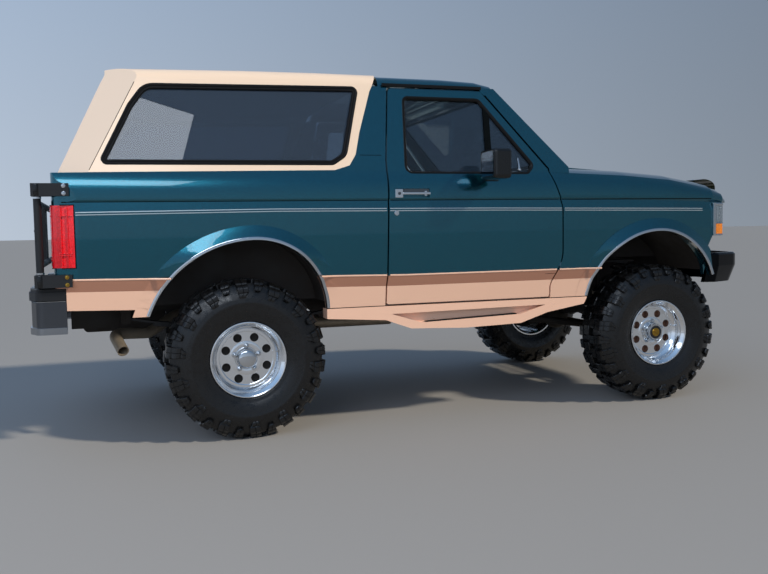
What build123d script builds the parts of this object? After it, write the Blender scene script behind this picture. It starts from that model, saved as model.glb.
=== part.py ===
from build123d import *
import math
import os

# A lifted two-door off-road 4x4 with a rear top. Millimetres, X forward, Y left, Z up.
# The origin is on the ground, at mid length, on the centre line.

# Wheels
wheelbase = 2659
rear_axle_x = -1168
track = 1690
tyre_d = 880
tyre_w = 315
bead_half = 119
rim_seat_r = 190
rim_lip_r = 208
rim_w = 266
rim_wall = 8
dish_depth = 80
disc_t = 22
disc_hole_r = 24
disc_hole_pcd = 244
disc_holes = 8
cap_r = 52
cap_h = 44
stud_pcd = 139.7
stud_count = 5
stud_r = 6.35
stud_l = 42

# Clearances
fit = 0.3
seam = 0.4
door_gap = 9

# Side of the body: half widths and heights of its long lines
body_half_w = 1003
sill_z = 702
sill_in = 30
crease_z = 812
crease_in = 24
band_z = 872
band_in = 2
band_lift = 36
waist_z = 1110
stripe_z = 1250
groove_z = 1302
groove_in = 9
belt_z = 1314
belt_in = 1
shoulder_z = 1470
shoulder_in = 40
eave_z = 1966
eave_in = 160
roof_edge_half = body_half_w - 263
roof_edge_z = 2040
roof_top_z = 2062
panel_t = 80
door_t = 88
frame_t = 42
skin_t = 26

# Lengths along the body
tail_x = -2140
door_rear_x = -350
door_front_x = 769
header_x = 374
screen_foot_x = 838
screen_foot_z = 1500
cowl_x = 940
fender_nose_x = 1925
bumper_x0 = 1882
lamp_top_z = 1272
hood_nose_x = 2085
firewall_x = 800

# Chassis
rail_out = 432
rail_w = 70
rail_h = 150
rail_wall = 12
floor_z = 800
load_floor_z = 885
floor_t = 30
riser_x = -480
spring_y = 535

front_axle_x = rear_axle_x + wheelbase
axle_z = tyre_d / 2
wheel_y = track / 2
tread_r = tyre_d / 2
disc_face = rim_w / 2 - dish_depth
disc_back = disc_face - disc_t
hub_face_y = wheel_y + disc_back - fit


def outline(points, radius=0):
    if radius:
        return make_face(FilletPolyline(*points, radius=radius, close=True))
    return make_face(Polyline(*points, close=True))


def slab_x(face, x0, x1):
    return extrude(Plane.YZ.offset(x0) * face, amount=x1 - x0, dir=(1, 0, 0))


def slab_y(face, y0, y1):
    return extrude(Plane.XZ.offset(-y0) * face, amount=y1 - y0, dir=(0, 1, 0))


def slab_z(face, z0, z1):
    return extrude(Plane.XY.offset(z0) * face, amount=z1 - z0, dir=(0, 0, 1))


def block(x0, x1, y0, y1, z0, z1):
    middle = ((x0 + x1) / 2, (y0 + y1) / 2, (z0 + z1) / 2)
    return Pos(*middle) * Box(x1 - x0, y1 - y0, z1 - z0)


def rod(start, end, r):
    start, end = Vector(*start), Vector(*end)
    return Plane(origin=start, z_dir=end - start) * Cylinder(
        r, (end - start).length, align=(Align.CENTER, Align.CENTER, Align.MIN)
    )


def pipe(points, radii, r_out, r_in):
    path = FilletPolyline(*points, radius=radii)
    start = Plane(origin=path @ 0, z_dir=path % 0)
    ring = Circle(r_out) - Circle(r_in) if r_in else Circle(r_out)
    return sweep(start * ring, path=path)


def flip(shape):
    return mirror(shape, about=Plane.XZ)


def both(shape):
    return [shape, flip(shape)]


def save(name, *shapes):
    solids = [solid for shape in shapes for solid in shape.solids()]
    whole = solids[0] if len(solids) == 1 else Compound(solids)
    export_step(whole, f"parts/{name}.step")


def side_y(z):
    # Half width of the outer skin at a height
    rows = [
        (sill_z, sill_in),
        (crease_z, crease_in),
        (band_z, band_in),
        (waist_z, 0),
        (stripe_z, 0),
        (groove_z, groove_in),
        (belt_z, belt_in),
        (shoulder_z, shoulder_in),
        (eave_z, eave_in),
    ]
    for (z0, in0), (z1, in1) in zip(rows, rows[1:]):
        if z <= z1:
            return body_half_w - in0 - (in1 - in0) * (z - z0) / (z1 - z0)
    return body_half_w - eave_in


def side_points(lift=0):
    # The skin below the belt, from the sill up: a recessed band, then a groove under the belt
    w = body_half_w
    return [
        (w - sill_in, sill_z),
        (w - crease_in, crease_z + lift),
        (w - band_in, band_z + lift),
        (w, waist_z),
        (w, stripe_z),
        (w - groove_in, groove_z),
        (w - belt_in, belt_z),
    ]


def wall_face(thick, top_z=eave_z, lift=0):
    # Section of a side wall: the lower wall as thick as the door, the window frame above it
    w = body_half_w
    belt, shoulder = (w - belt_in, belt_z), (w - shoulder_in, shoulder_z)
    bulge = (w - shoulder_in * 0.26, (belt_z + shoulder_z) / 2 + 5)
    lower = Polyline(*side_points(lift))
    round_up = ThreePointArc(belt, bulge, shoulder)
    rest = Polyline(
        shoulder,
        (side_y(top_z), top_z),
        (side_y(top_z) - frame_t, top_z),
        (side_y(shoulder_z) - frame_t, shoulder_z),
        (w - thick, shoulder_z - 20),
        (w - thick, sill_z),
        (w - sill_in, sill_z),
    )
    return make_face(lower + round_up + rest)


def roof_face(inset, drop, base_z):
    # Closed section of the roof and the sloping sides below it
    k = 1 - drop / (roof_top_z - eave_z)
    low = side_y(base_z) - inset
    eave = side_y(eave_z) - inset
    edge = roof_edge_half - inset * 0.5
    corner = eave - 22
    edge_z = eave_z + (roof_edge_z - eave_z) * k - inset
    corner_z = eave_z + (roof_edge_z - eave_z) * 0.62 * k - inset * 0.75
    top_z = eave_z + (roof_top_z - eave_z) * k - inset
    eave_low = eave_z - inset * 0.4
    left = ThreePointArc((eave, eave_low), (corner, corner_z), (edge, edge_z))
    crown = ThreePointArc((edge, edge_z), (0, top_z), (-edge, edge_z))
    right = ThreePointArc((-edge, edge_z), (-corner, corner_z), (-eave, eave_low))
    if base_z < eave_low:
        foot = Polyline((-eave, eave_low), (-low, base_z), (low, base_z), (eave, eave_low))
    else:
        foot = Line((-eave, eave_low), (eave, eave_low))
    return make_face(left + crown + right + foot)


def roof_solid(stations, inset, base_z):
    faces = [Plane.YZ.offset(x) * roof_face(inset, drop, base_z) for x, drop in stations]
    return loft(faces, ruled=True)


# Wheel arch openings: apex x and z, radius behind it, radius ahead of it
rear_arch = (-1120, 1098, 600, 405)
front_arch = (1466, 1102, 526, 420)
flare_w = 78
flare_out = 26


def arch_face(arch, grow=0, low=600):
    apex_x, apex_z, r_rear, r_front = arch

    def at(side, r, z):
        centre = apex_z - r
        return (apex_x + side * math.sqrt((r + grow) ** 2 - (z - centre) ** 2), z)

    top = (apex_x, apex_z + grow)
    middle_rear = at(-1, r_rear, apex_z - r_rear * 0.25)
    middle_front = at(1, r_front, apex_z - r_front * 0.25)
    rear, front = at(-1, r_rear, low), at(1, r_front, low)
    rim = ThreePointArc(rear, middle_rear, top) + ThreePointArc(top, middle_front, front)
    return make_face(rim + Line(front, rear))


def flare(arch, low):
    # A raised lip round the arch, turned about each of its two centres
    apex_x, apex_z, r_rear, r_front = arch
    w = body_half_w
    shape = Plane.YZ.offset(apex_x)
    out = []
    for r, side in ((r_rear, -1), (r_front, 1)):
        centre = apex_z - r
        lip = Polyline(
            (w - skin_t, apex_z + flare_w),
            (w - skin_t, apex_z),
            (w + flare_out, apex_z),
            (w + flare_out, apex_z + 12),
        )
        sweep_out = ThreePointArc(
            (w + flare_out, apex_z + 12),
            (w + flare_out * 0.42, apex_z + flare_w * 0.6),
            (w - 1, apex_z + flare_w),
        )
        top = Line((w - 1, apex_z + flare_w), (w - skin_t, apex_z + flare_w))
        face = shape * make_face(lip + sweep_out + top)
        angle = math.degrees(math.acos((low - centre) / r)) + 8
        axis = Axis((apex_x, 0, centre), (0, side, 0))
        out.append(revolve(face, axis=axis, revolution_arc=angle))
    whole = out[0] + out[1]
    return whole & block(apex_x - 900, apex_x + 900, 0, w + 100, low, apex_z + 200)


# Door edge in side view, from the rear foot round to the front foot
door_points = [
    (door_rear_x - 15, sill_z + 6),
    (door_rear_x, 1200),
    (door_rear_x + 9, 1534),
    (door_rear_x + 57, eave_z - 6),
    (295, eave_z - 6),
    (690, 1490),
    (door_front_x, 1270),
    (door_front_x, 950),
    (door_front_x - 77, 780),
    (door_front_x - 79, sill_z + 6),
]
door_radii = [10, 0, 0, 30, 30, 30, 250, 200, 60, 10]
window_points = [(-232, 1462), (-205, 1908), (278, 1908), (600, 1510), (556, 1462)]
window_radii = [40, 30, 40, 30, 30]
vent_bar = [(311, 1915), (345, 1915), (320, 1455), (286, 1455)]
door_glass_in = 18
handle_x0, handle_x1 = -312, -101
handle_z0, handle_z1 = 1318, 1369
handle_deep = 24


def shifted(points, dx):
    return [(x + dx, z) for x, z in points]


def door_panel():
    face = outline(door_points, door_radii)
    panel = slab_x(wall_face(door_t), door_rear_x - 40, door_front_x + 40)
    panel = panel & slab_y(face, 0, body_half_w + 50)
    window = slab_y(outline(window_points, window_radii), 700, body_half_w + 50)
    bar = side_pane(6, door_glass_in - 6 - fit) & slab_y(outline(vent_bar), 0, body_half_w)
    return panel - window + bar - handle_pocket() + handle_flap()


def handle_pocket():
    w = body_half_w
    return block(handle_x0, handle_x1, w - handle_deep, w + 5, handle_z0, handle_z1)


def handle_flap():
    # The lift-up flap in its pocket, hung from the pocket's upper edge
    x0, x1 = handle_x0 + 16, handle_x1 - 16
    w = body_half_w
    flap = block(x0, x1, w - 15, w - 8, handle_z0 + 10, handle_z1 - 8)
    return flap + block(x0, x1, w - handle_deep - 1, w - 8, handle_z1 - 18, handle_z1 - 8)


# Door hinge line, and the two hinge heights
hinge_x = 670
hinge_in = 23
hinge_zs = (900, 1230)
hinge_h = 50
pin_r = 7
eye_r = 12
hinge_arm_in = 100
hinge_y = body_half_w - hinge_in


def door_shell():
    panel = door_panel()
    for z in hinge_zs:
        inner = hinge_y - door_t
        pocket = block(
            hinge_x - 15, door_front_x + 40, inner, hinge_y + eye_r + 2, z - hinge_h, z + hinge_h
        )
        pin = rod((hinge_x, hinge_y, z - hinge_h), (hinge_x, hinge_y, z + hinge_h), pin_r)
        panel = panel - pocket + pin
    return panel


def door_hinge(z):
    # Eye on the door's pin, an arm into the cab, and a leg forward to the pillar
    half = hinge_h - 12
    eye = rod((hinge_x, hinge_y, z - half), (hinge_x, hinge_y, z + half), eye_r)
    arm = block(hinge_x - 5, hinge_x + 5, hinge_y - hinge_arm_in, hinge_y - eye_r + 4, z - half, z + half)
    leg_y = hinge_y - hinge_arm_in
    leg = block(hinge_x - 5, pillar_x0, leg_y - 5, leg_y + 5, z - half, z + half)
    hole = rod((hinge_x, hinge_y, z - hinge_h), (hinge_x, hinge_y, z + hinge_h), pin_r + fit)
    return eye + arm + leg - hole


pillar_x0 = door_front_x + 13
pillar_y1 = body_half_w - 66


def quarter_panel():
    # Body side behind the door, with the door's rear pillar and the corner post
    front = shifted(door_points[:4], -door_gap)
    edge = [
        (front[0][0], sill_z),
        front[1],
        front[2],
        (front[3][0] + 1, eave_z),
        (top_front[-1][0] + 1, eave_z),
    ]
    back = [(x + 1, z - seam) for x, z in reversed(top_front[:-1])]
    low_z = rear_bumper_z1 + pad_h + 4
    tail = [
        (tail_x, top_base_z - 1.5),
        (tail_x, low_z),
        (rear_bumper_x1 + 2, low_z),
        (rear_bumper_x1 + 2, sill_z + 50),
        (-1690, sill_z + 38),
    ]
    face = outline(edge + back + tail + [(-730, sill_z)])
    low_band = Plane.YZ.offset(door_rear_x + 100) * wall_face(panel_t)
    high_band = Plane.YZ.offset(tail_x) * wall_face(panel_t, lift=band_lift)
    side = loft([low_band, high_band], ruled=True)
    side = side & slab_y(face, 0, body_half_w + 50)
    side = side + flare(rear_arch, sill_z) - slab_y(arch_face(rear_arch), 0, body_half_w + 90)
    post_y = tailgate_half + 4
    post = block(tail_x, tail_x + 60, post_y, body_half_w - panel_t + 5, low_z, shoulder_z - 30)
    lamp = lamp_block(fit)
    return (side + post - lamp) & corner_plan()


def corner_plan():
    # Plan outline of one side, with the rounded rear corner
    points = [
        (tail_x, 0),
        (tail_x, body_half_w - 20),
        (tail_x + 500, body_half_w + 60),
        (door_front_x, body_half_w + 60),
        (door_front_x, 0),
    ]
    return slab_z(outline(points, [0, 45, 0, 0, 0]), sill_z - 10, eave_z + 10)


# Rear top: outline in side view
top_base_z = 1454
top_rear = [
    (tail_x + 33, top_base_z),
    (tail_x + 260, 1939),
    (tail_x + 285, 1985),
    (tail_x + 285, 2100),
]
top_front = [
    (-654, 1474),
    (-566, 1501),
    (-524, 1564),
    (-491, 1690),
    (-407, 1934),
    (-390, eave_z),
]
top_edge_x = -354
top_wall = 38
top_rear_wall = 60
top_stations = [(tail_x - 60, 62), (tail_x + 349, 33), (-1143, 8), (-724, 0), (top_edge_x - 1, 0)]
top_window = [
    (tail_x + 245, 1506),
    (tail_x + 400, 1815),
    (tail_x + 480, 1925),
    (-484, 1950),
    (-586, 1560),
    (-660, 1512),
]
top_window_radii = [20, 60, 90, 25, 60, 40]


def corner_cut(inset):
    # Half space beyond the slanted rear corner facet
    low = Vector(tail_x + 188, side_y(1467), 1467)
    high = Vector(tail_x + 430, side_y(1940), 1940)
    rear = Vector(tail_x + 33, body_half_w - 113, top_base_z)
    normal = (high - low).cross(rear - low).normalized()
    if normal.Y < 0:
        normal = normal * -1
    base = Plane(origin=low - normal * inset, x_dir=high - low, z_dir=normal)
    far = 3 * body_half_w
    return base * Box(far, far, far / 4, align=(Align.CENTER, Align.CENTER, Align.MIN))


def rear_top():
    outer_points = top_rear + [(top_edge_x, 2100), (top_edge_x, 2045)] + top_front[::-1]
    wide = body_half_w + 100
    outer = roof_solid(top_stations, 0, top_base_z) & slab_y(outline(outer_points), -wide, wide)
    inner_rear = [(x + top_rear_wall, z) for x, z in top_rear]
    inner_low = top_base_z - 1
    inner_points = [(inner_rear[0][0], inner_low)] + inner_rear + [(-300, 2100), (-300, inner_low)]
    stations = [(x + 2 if x > -1000 else x, drop) for x, drop in top_stations]
    inner = roof_solid(stations, top_wall, top_base_z - 1) & slab_y(outline(inner_points), -wide, wide)
    outer = outer - corner_cut(0) - flip(corner_cut(0))
    inner = inner - corner_cut(top_wall) - flip(corner_cut(top_wall))
    window = outline(top_window, top_window_radii)
    shell = outer - inner
    side_window = slab_y(window, roof_edge_half - 40, wide)
    shell = shell - side_window - flip(side_window)
    return shell - slab_x(hatch_face(0), tail_x - 160, tail_x + 380)


def hatch_face(inset):
    # Rear window's opening seen from behind
    low, high, top = rear_glass_half - inset, hatch_top_half - inset, hatch_top_z - inset
    return outline([(-low, 1440), (-high, top), (high, top), (low, 1440)], [0, 60, 60, 0])


rear_glass_half = body_half_w - 283
hatch_top_half = body_half_w - 363
hatch_top_z = 1890
tailgate_half = body_half_w - 218
lamp_z0, lamp_z1 = 972, 1287
lamp_front_x = tail_x + 105
lamp_in = 150


def lamp_block(grow):
    y1 = body_half_w + 20
    plan = [
        (tail_x - 8, body_half_w - lamp_in - grow),
        (tail_x - 8, body_half_w - 12),
        (lamp_front_x + grow, y1),
        (lamp_front_x + grow, body_half_w - 60 - grow),
        (tail_x + 40 + grow, body_half_w - 60 - grow),
        (tail_x + 40 + grow, body_half_w - lamp_in - grow),
    ]
    return slab_z(outline(plan), lamp_z0 - grow, lamp_z1 + grow)


def tail_lamp():
    solid = lamp_block(0)
    outer = [
        (tail_x - 7, 0),
        (tail_x - 7, body_half_w - 20),
        (lamp_front_x + 1, body_half_w + 1),
        (lamp_front_x + 1, 0),
    ]
    return solid & slab_z(outline(outer, [0, 40, 0, 0]), lamp_z0, lamp_z1)


# Front sheet metal: columns x, how far it narrows, how far it drops
nose_rows = [
    (690, 0, 0),
    (1250, 4, 20),
    (1600, 16, 46),
    (fender_nose_x, 44, 98),
    (hood_nose_x - 65, 66, 128),
    (hood_nose_x - 17, 100, 168),
]
hood_half = body_half_w - 231
hood_gap = 7


def fender_face(narrow, drop):
    w = body_half_w - narrow
    top = shoulder_z - drop
    inner_y = hood_half + hood_gap
    inner_z = top + 42
    skin = [(y - narrow, z - drop * 0.2 if z > waist_z else z) for y, z in side_points()]
    skin[0] = (skin[0][0], sill_z - 10)
    belt = skin[-1]
    lower = Polyline(*skin)
    round_up = ThreePointArc(belt, (w - 9, (belt[1] + top) / 2 + 8), (w - shoulder_in, top))
    middle = ((w - shoulder_in + inner_y) / 2, top + 30)
    crown = ThreePointArc((w - shoulder_in, top), middle, (inner_y, inner_z))
    inside = Polyline(
        (inner_y, inner_z),
        (inner_y, inner_z - skin_t - 12),
        (middle[0], top + 2 - skin_t),
        (w - shoulder_in - skin_t, top - skin_t - 16),
        *[(y - skin_t, z) for y, z in reversed(skin)],
        skin[0],
    )
    return make_face(lower + round_up + crown + inside)


def front_fender():
    faces = [Plane.YZ.offset(x) * fender_face(narrow, drop) for x, narrow, drop in nose_rows]
    skin = loft(faces, ruled=True) + flare(front_arch, sill_z)
    edge = shifted(door_points[5:], door_gap)
    profile = [
        (edge[0][0] - 12, 1600),
        (edge[0][0] - 6, 1500),
        *edge[1:4],
        (edge[4][0], sill_z),
        (bumper_x0 - 14, sill_z),
        (bumper_x0 - 14, 960),
        (fender_nose_x, 1060),
        (fender_nose_x, lamp_top_z + 3),
        (nose_rows[-1][0], lamp_top_z + 3),
        (nose_rows[-1][0], 1600),
    ]
    radii = [0, 0, 250, 200, 60] + [0] * 7
    skin = skin & slab_y(outline(profile, radii), 0, body_half_w + 60)
    return skin - slab_y(arch_face(front_arch), 0, body_half_w + 90)


def fender_crown():
    # Everything below the fender's top near the windscreen, which the pillar's foot stands on
    faces = []
    for x, narrow, drop in nose_rows[:2]:
        w = body_half_w - narrow
        top = shoulder_z - drop + seam
        inner = (hood_half + hood_gap, top + 42)
        shoulder = (w - shoulder_in, top)
        arc = ThreePointArc(shoulder, ((shoulder[0] + inner[0]) / 2, top + 30), inner)
        rest = Polyline(inner, (inner[0], 1380), (w + 30, 1380), (w + 30, belt_z + 90), shoulder)
        faces.append(Plane.YZ.offset(x) * make_face(arc + rest))
    return loft(faces, ruled=True)


# Hood: stations of its top edge, and how far the inner face moves along at each
hood_rows = [
    (cowl_x, 1512, 1),
    (1250, 1492, 0),
    (1600, 1466, 0),
    (1925, 1414, -0.2),
    (hood_nose_x - 65, 1384, -0.5),
    (hood_nose_x - 19, 1346, -0.8),
    (hood_nose_x, 1302, -1),
]
hood_crown = 24
hood_t = 22
hood_low_z = 1280


def hood_body(inset):
    half = hood_half - inset
    faces = []
    for x, z, share in hood_rows:
        x = x + inset * share
        edge = max(z - inset, hood_low_z + 2)
        crown = ThreePointArc((half, edge), (0, edge + hood_crown), (-half, edge))
        low = Polyline((-half, edge), (-half, hood_low_z), (half, hood_low_z), (half, edge))
        faces.append(Plane.YZ.offset(x) * make_face(crown + low))
    return loft(faces, ruled=True)


def hood_centre():
    # Raised flat along the middle, fading out at both ends
    faces = []
    for x, rise, half in ((1030, 20, 400), (1130, 35, 392), (1880, 33, 350), (2035, 18, 340)):
        base = hood_edge_z(x)
        points = [(half + 16, base), (half, base + rise), (-half, base + rise), (-half - 16, base)]
        faces.append(Plane.YZ.offset(x) * outline(points))
    return loft(faces, ruled=True)


def hood_edge_z(x):
    # Height of the hood's long edge at a place along it
    for (x0, z0, _), (x1, z1, _) in zip(hood_rows, hood_rows[1:]):
        if x <= x1:
            return z0 + (z1 - z0) * (x - x0) / (x1 - x0)
    return hood_low_z


def hood_deflector():
    # Smoked visor across the nose, on four feet that stand on the hood
    tip_x, tip_z = hood_nose_x + 58, 1350
    back_x, back_z = hood_nose_x - 95, 1440
    mid_x, mid_z = hood_nose_x + 6, 1417
    outer = ThreePointArc((back_x, back_z), (mid_x, mid_z), (tip_x, tip_z))
    inner = ThreePointArc(
        (back_x, back_z - visor_t), (mid_x - 2, mid_z - visor_t), (tip_x - visor_t, tip_z)
    )
    ends = Line(outer @ 0, inner @ 0) + Line(outer @ 1, inner @ 1)
    half = hood_half - 8
    plan = [(back_x - 10, -half), (tip_x, -half), (tip_x, half), (back_x - 10, half)]
    visor = slab_y(make_face(outer + inner + ends), -half, half)
    visor = visor & slab_z(outline(plan, [0, 70, 70, 0]), 1300, 1500)
    under = slab_y(outline([
        (back_x, 1300), (back_x, back_z - 1), (back_x + 24, back_z - 4), (back_x + 24, 1300)
    ]), -half, half)
    for y in (-660, -240, 240, 660):
        foot = under & block(back_x - 1, back_x + 30, y - 14, y + 14, 1290, 1460)
        visor = visor + foot
    return visor - hood_body(-fit) - block(1900, 2200, -half, half, 1200, hood_low_z + 40)


visor_t = 5


def hood():
    # A pan: crowned top skin, front lip and narrow side flanges
    outer = hood_body(0) + hood_centre()
    half = hood_half + 100
    cavity = hood_body(hood_t) & block(cowl_x - 10, hood_nose_x - hood_t, -half, half, 1200, 1600)
    lip_x = hood_nose_x - 55
    under = [(cowl_x - 1, 1200), (cowl_x - 1, 1470), (1925, 1372), (lip_x, 1290), (lip_x, 1200)]
    pan = outer - cavity - slab_y(outline(under), -hood_half - 100, hood_half + 100)
    x, z = hood_axis
    for side in (1, -1):
        y0, y1 = sorted((side * (hood_ear_y - 12), side * (hood_ear_y + fit)))
        pan = pan - block(cowl_x - 1, x + 16, y0, y1, 1460, z + 14)
        y0, y1 = sorted((side * (hood_ear_y + fit), side * (hood_ear_y + 10)))
        pan = pan + block(x - 8, x + 20, y0, y1, z - 10, z + 12)
        pan = pan + rod((x, side * (hood_ear_y - 14), z), (x, side * (hood_ear_y + 9), z), 6)
    return pan


# Hood hinge line, x and z, and the outer face of the ears it turns in
hood_axis = (955, 1490)
hood_ear_y = hood_half - 64


def hood_ears():
    x, z = hood_axis
    points = [
        (900, 1450),
        (928, 1450),
        (x + 12, z - 8),
        (x + 8, z + 8),
        (x - 4, z + 9),
        (x - 19, z - 7),
        (900, 1466),
    ]
    out = []
    for side in (1, -1):
        y0, y1 = sorted((side * (hood_ear_y - 9), side * hood_ear_y))
        hole = rod((x, side * (hood_ear_y - 20), z), (x, side * (hood_ear_y + 1), z), 6 + fit)
        out.append(slab_y(outline(points), y0, y1) - hole)
    return out


def grille():
    x0, x1 = hood_nose_x - 55, hood_nose_x - 6
    frame = block(x0, x1, -600, 600, 1050, lamp_top_z) - block(x0 - 1, x1 + 1, -560, 560, 1085, 1246)
    bars = []
    for row in range(3):
        z = 1108 + row * 40
        bars.append(block(x0 + 10, x1 - 8, -561, 561, z, z + 20))
    for column in range(-6, 7):
        bars.append(block(x0 + 16, x1 - 16, column * 84 - 5, column * 84 + 5, 1084, 1247))
    for side in (1, -1):
        for z in (1060, lamp_top_z - 60):
            y0, y1 = sorted((side * 562, side * 600))
            bars.append(block(support_x1 + fit, x0 + 1, y0, y1, z, z + 36))
    for bar in bars:
        frame = frame + bar
    return frame


head_in = 604
support_x0, support_x1 = 1872, 1922


def headlamp():
    plan = [
        (support_x1 + fit, head_in),
        (hood_nose_x - 6, head_in),
        (hood_nose_x + 10, body_half_w - 203),
        (hood_nose_x - 75, body_half_w - 61),
        (fender_nose_x + 4, body_half_w - 47),
        (fender_nose_x + 4, body_half_w - 105),
        (support_x1 + fit, body_half_w - 105),
    ]
    return slab_z(outline(plan, [0, 20, 90, 40, 0, 0, 0]), 1061, lamp_top_z)


rail_rows = [
    (hood_nose_x - 5, 600),
    (1800, 600),
    (1700, 650),
    (1280, 650),
    (1150, 585),
    (-600, 585),
    (-750, 690),
    (-1600, 690),
    (-1780, 600),
    (tail_x + 55, 600),
]
arm_end_x = 640


def rail_z(x):
    # Underside of the rail at a place along it
    for (x0, z0), (x1, z1) in zip(rail_rows, rail_rows[1:]):
        if x >= x1:
            return z0 + (z1 - z0) * (x - x0) / (x1 - x0)
    return rail_rows[-1][1]


def ladder_rail():
    # C-section rail, open inwards, with what is riveted to it
    tops = [(x, z + rail_h) for x, z in reversed(rail_rows)]
    rail = slab_y(outline(rail_rows + tops), rail_out - rail_w, rail_out)
    inner = [(x, z + rail_wall) for x, z in rail_rows] + [(x, z - rail_wall) for x, z in tops]
    inner[0], inner[-1] = (hood_nose_x, inner[0][1]), (hood_nose_x, inner[-1][1])
    inner[9], inner[10] = (tail_x + 50, inner[9][1]), (tail_x + 50, inner[10][1])
    rail = rail - slab_y(outline(inner), rail_out - rail_w - 1, rail_out - rail_wall)
    tower = block(tower_x0, tower_x1, rail_out, rail_out + rail_wall, 700, tower_z)
    shelf = block(tower_x0, tower_x1, rail_out, 606, tower_z - 12, tower_z)
    shock_shelf = block(rear_axle_x - 225, rear_axle_x - 175, rail_out, 625, rear_shock_z, rear_shock_z + 20)
    arm_seat = block(arm_end_x - 25, arm_end_x + 25, 384, rail_out, 569.3, 585)
    rail = rail + tower + shelf + shock_shelf + arm_seat
    for x in mount_xs:
        deck = floor_z if x > riser_x else load_floor_z
        y = rail_out - rail_w / 2
        rail = rail + rod((x, y, rail_z(x) + rail_h), (x, y, deck - floor_t), 32)
    for x in (-560, -1790):
        rail = rail + hanger(x)
    return rail


def hanger(x):
    z = leaf_z + leaf_rise - 6
    cheek_in = block(x - 26, x + 26, rail_out, spring_y - 33, z - 30, z + 46)
    cheek_out = block(x - 26, x + 26, spring_y + 33, spring_y + 45, z - 30, z + 46)
    return cheek_in + cheek_out + block(x - 26, x + 26, rail_out, spring_y + 45, z + 34, z + 46)


def crossmembers():
    # Columns x, length along x, z of the underside, height
    rows = [
        (hood_nose_x - 45, 60, 620, 110),
        (1440, 150, 664, 34),
        (420, 150, 602, 32),
        (-480, 60, 640, 80),
        (-1400, 60, 730, 96),
        (tail_x + 90, 50, 615, 120),
    ]
    inner = rail_out - rail_wall
    bars = [block(x - length / 2, x + length / 2, -inner, inner, z, z + h) for x, length, z, h in rows]
    for side, dx in ((1, -beam_dx), (-1, beam_dx)):
        bars[1] = bars[1] + pivot_bracket(side, dx)
    return bars


mount_xs = (300, -300, -900, -1500, tail_x + 140)
tower_x0, tower_x1 = 1320, 1562
tower_z = 900
rear_shock_z = 792
tunnel_half = 210
tunnel_z = 945
sill_box_y = body_half_w - 153
house_in = 640
house_x0, house_x1 = -1728, -655


def floor_pan():
    # Front floor with its tunnel and sills, riser, and load floor between the wheelhouses
    wide = body_half_w - panel_t - seam
    low, deck = floor_z - floor_t, load_floor_z - floor_t
    front = block(riser_x, firewall_x, -sill_box_y, sill_box_y, low, floor_z)
    rear = block(tail_x + 62, riser_x, -wide, wide, deck, load_floor_z)
    riser = block(riser_x, riser_x + floor_t, -wide, wide, low, load_floor_z)
    tunnel = block(-200, firewall_x, -tunnel_half, tunnel_half, low, tunnel_z)
    hollow = block(-180, firewall_x + 1, -tunnel_half + 24, tunnel_half - 24, low - 1, tunnel_z - 24)
    pan = front + rear + riser + tunnel - hollow
    well = block(house_x0, house_x1, house_in - seam, wide + 1, deck - 1, load_floor_z + 1)
    sill = block(house_x1, firewall_x - 20, sill_box_y - 70, sill_box_y, sill_z, floor_z)
    return pan - well - flip(well) + sill + flip(sill)


def wheelhouse():
    # Arched liner over the rear wheel, closed on its inner side
    outer = slab_y(arch_face(rear_arch, 24, load_floor_z - floor_t - 120), house_in, body_half_w - panel_t)
    inner = slab_y(arch_face(rear_arch, 8, load_floor_z - floor_t - 121), house_in + 16, body_half_w)
    return outer - inner


def cowl_firewall():
    wide = body_half_w - 143
    wall = block(firewall_x, firewall_x + 30, -wide, wide, floor_z - floor_t, 1430)
    hole = block(firewall_x - 1, firewall_x + 31, -tunnel_half + 24, tunnel_half - 24, 700, tunnel_z - 24)
    top = block(firewall_x, cowl_x - 12, -hood_half, hood_half, 1425, 1455)
    body = wall - hole + top
    for ear in hood_ears():
        body = body + ear
    for side in (1, -1):
        y0, y1 = sorted((side * sill_box_y, side * pillar_y1))
        body = body + block(pillar_x0, pillar_x0 + 70, y0, y1, sill_z + 10, 1415)
    return body


def cab_roof():
    stations = [(top_edge_x + seam, 13), (60, 14), (279, 26), (header_x, 54)]
    outer = roof_solid(stations, 0, eave_z - 30)
    inside = [(top_edge_x - 1, 13), (60, 14), (279, 26), (header_x - 45, 50)]
    inner = roof_solid(inside, 34, eave_z - 40)
    roof = outer - inner
    keep = [
        (-360, eave_z),
        (290, eave_z),
        (320, eave_z - 32),
        (header_x + 10, eave_z - 32),
        (header_x + 10, 2100),
        (-360, 2100),
    ]
    roof = roof & slab_y(outline(keep), -1000, 1000)
    header = [
        (header_x - 60, header_z),
        (header_x, header_z),
        (header_x + 12, header_z - 24),
        (header_x - 40, header_z - 42),
        (header_x - 74, header_z - 24),
    ]
    header_half = roof_edge_half + 20
    roof = roof + slab_y(outline(header), -header_half, header_half)
    gutter_y = side_y(eave_z)
    gutter = [
        (gutter_y - 12, eave_z + 2),
        (gutter_y + 10, eave_z + 2),
        (gutter_y + 10, eave_z + 16),
        (gutter_y + 5, eave_z + 16),
        (gutter_y + 5, eave_z + 8),
        (gutter_y - 12, eave_z + 8),
    ]
    gutter = slab_x(outline(gutter), -329, 297)
    roof = roof + gutter + flip(gutter)
    for side in (1, -1):
        roof = roof + pillar(side)
    foot = [
        (screen_foot_x - 46, screen_foot_z - 44),
        (screen_foot_x + 2, screen_foot_z - 32),
        (screen_foot_x + 2, screen_foot_z),
        (screen_foot_x - 30, screen_foot_z + 12),
    ]
    crown = fender_crown()
    foot_half = body_half_w - 103
    return roof + slab_y(outline(foot), -foot_half, foot_half) - crown - flip(crown)


pillar_t = 64
pane_t = 6
header_z = eave_z + 24


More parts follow.
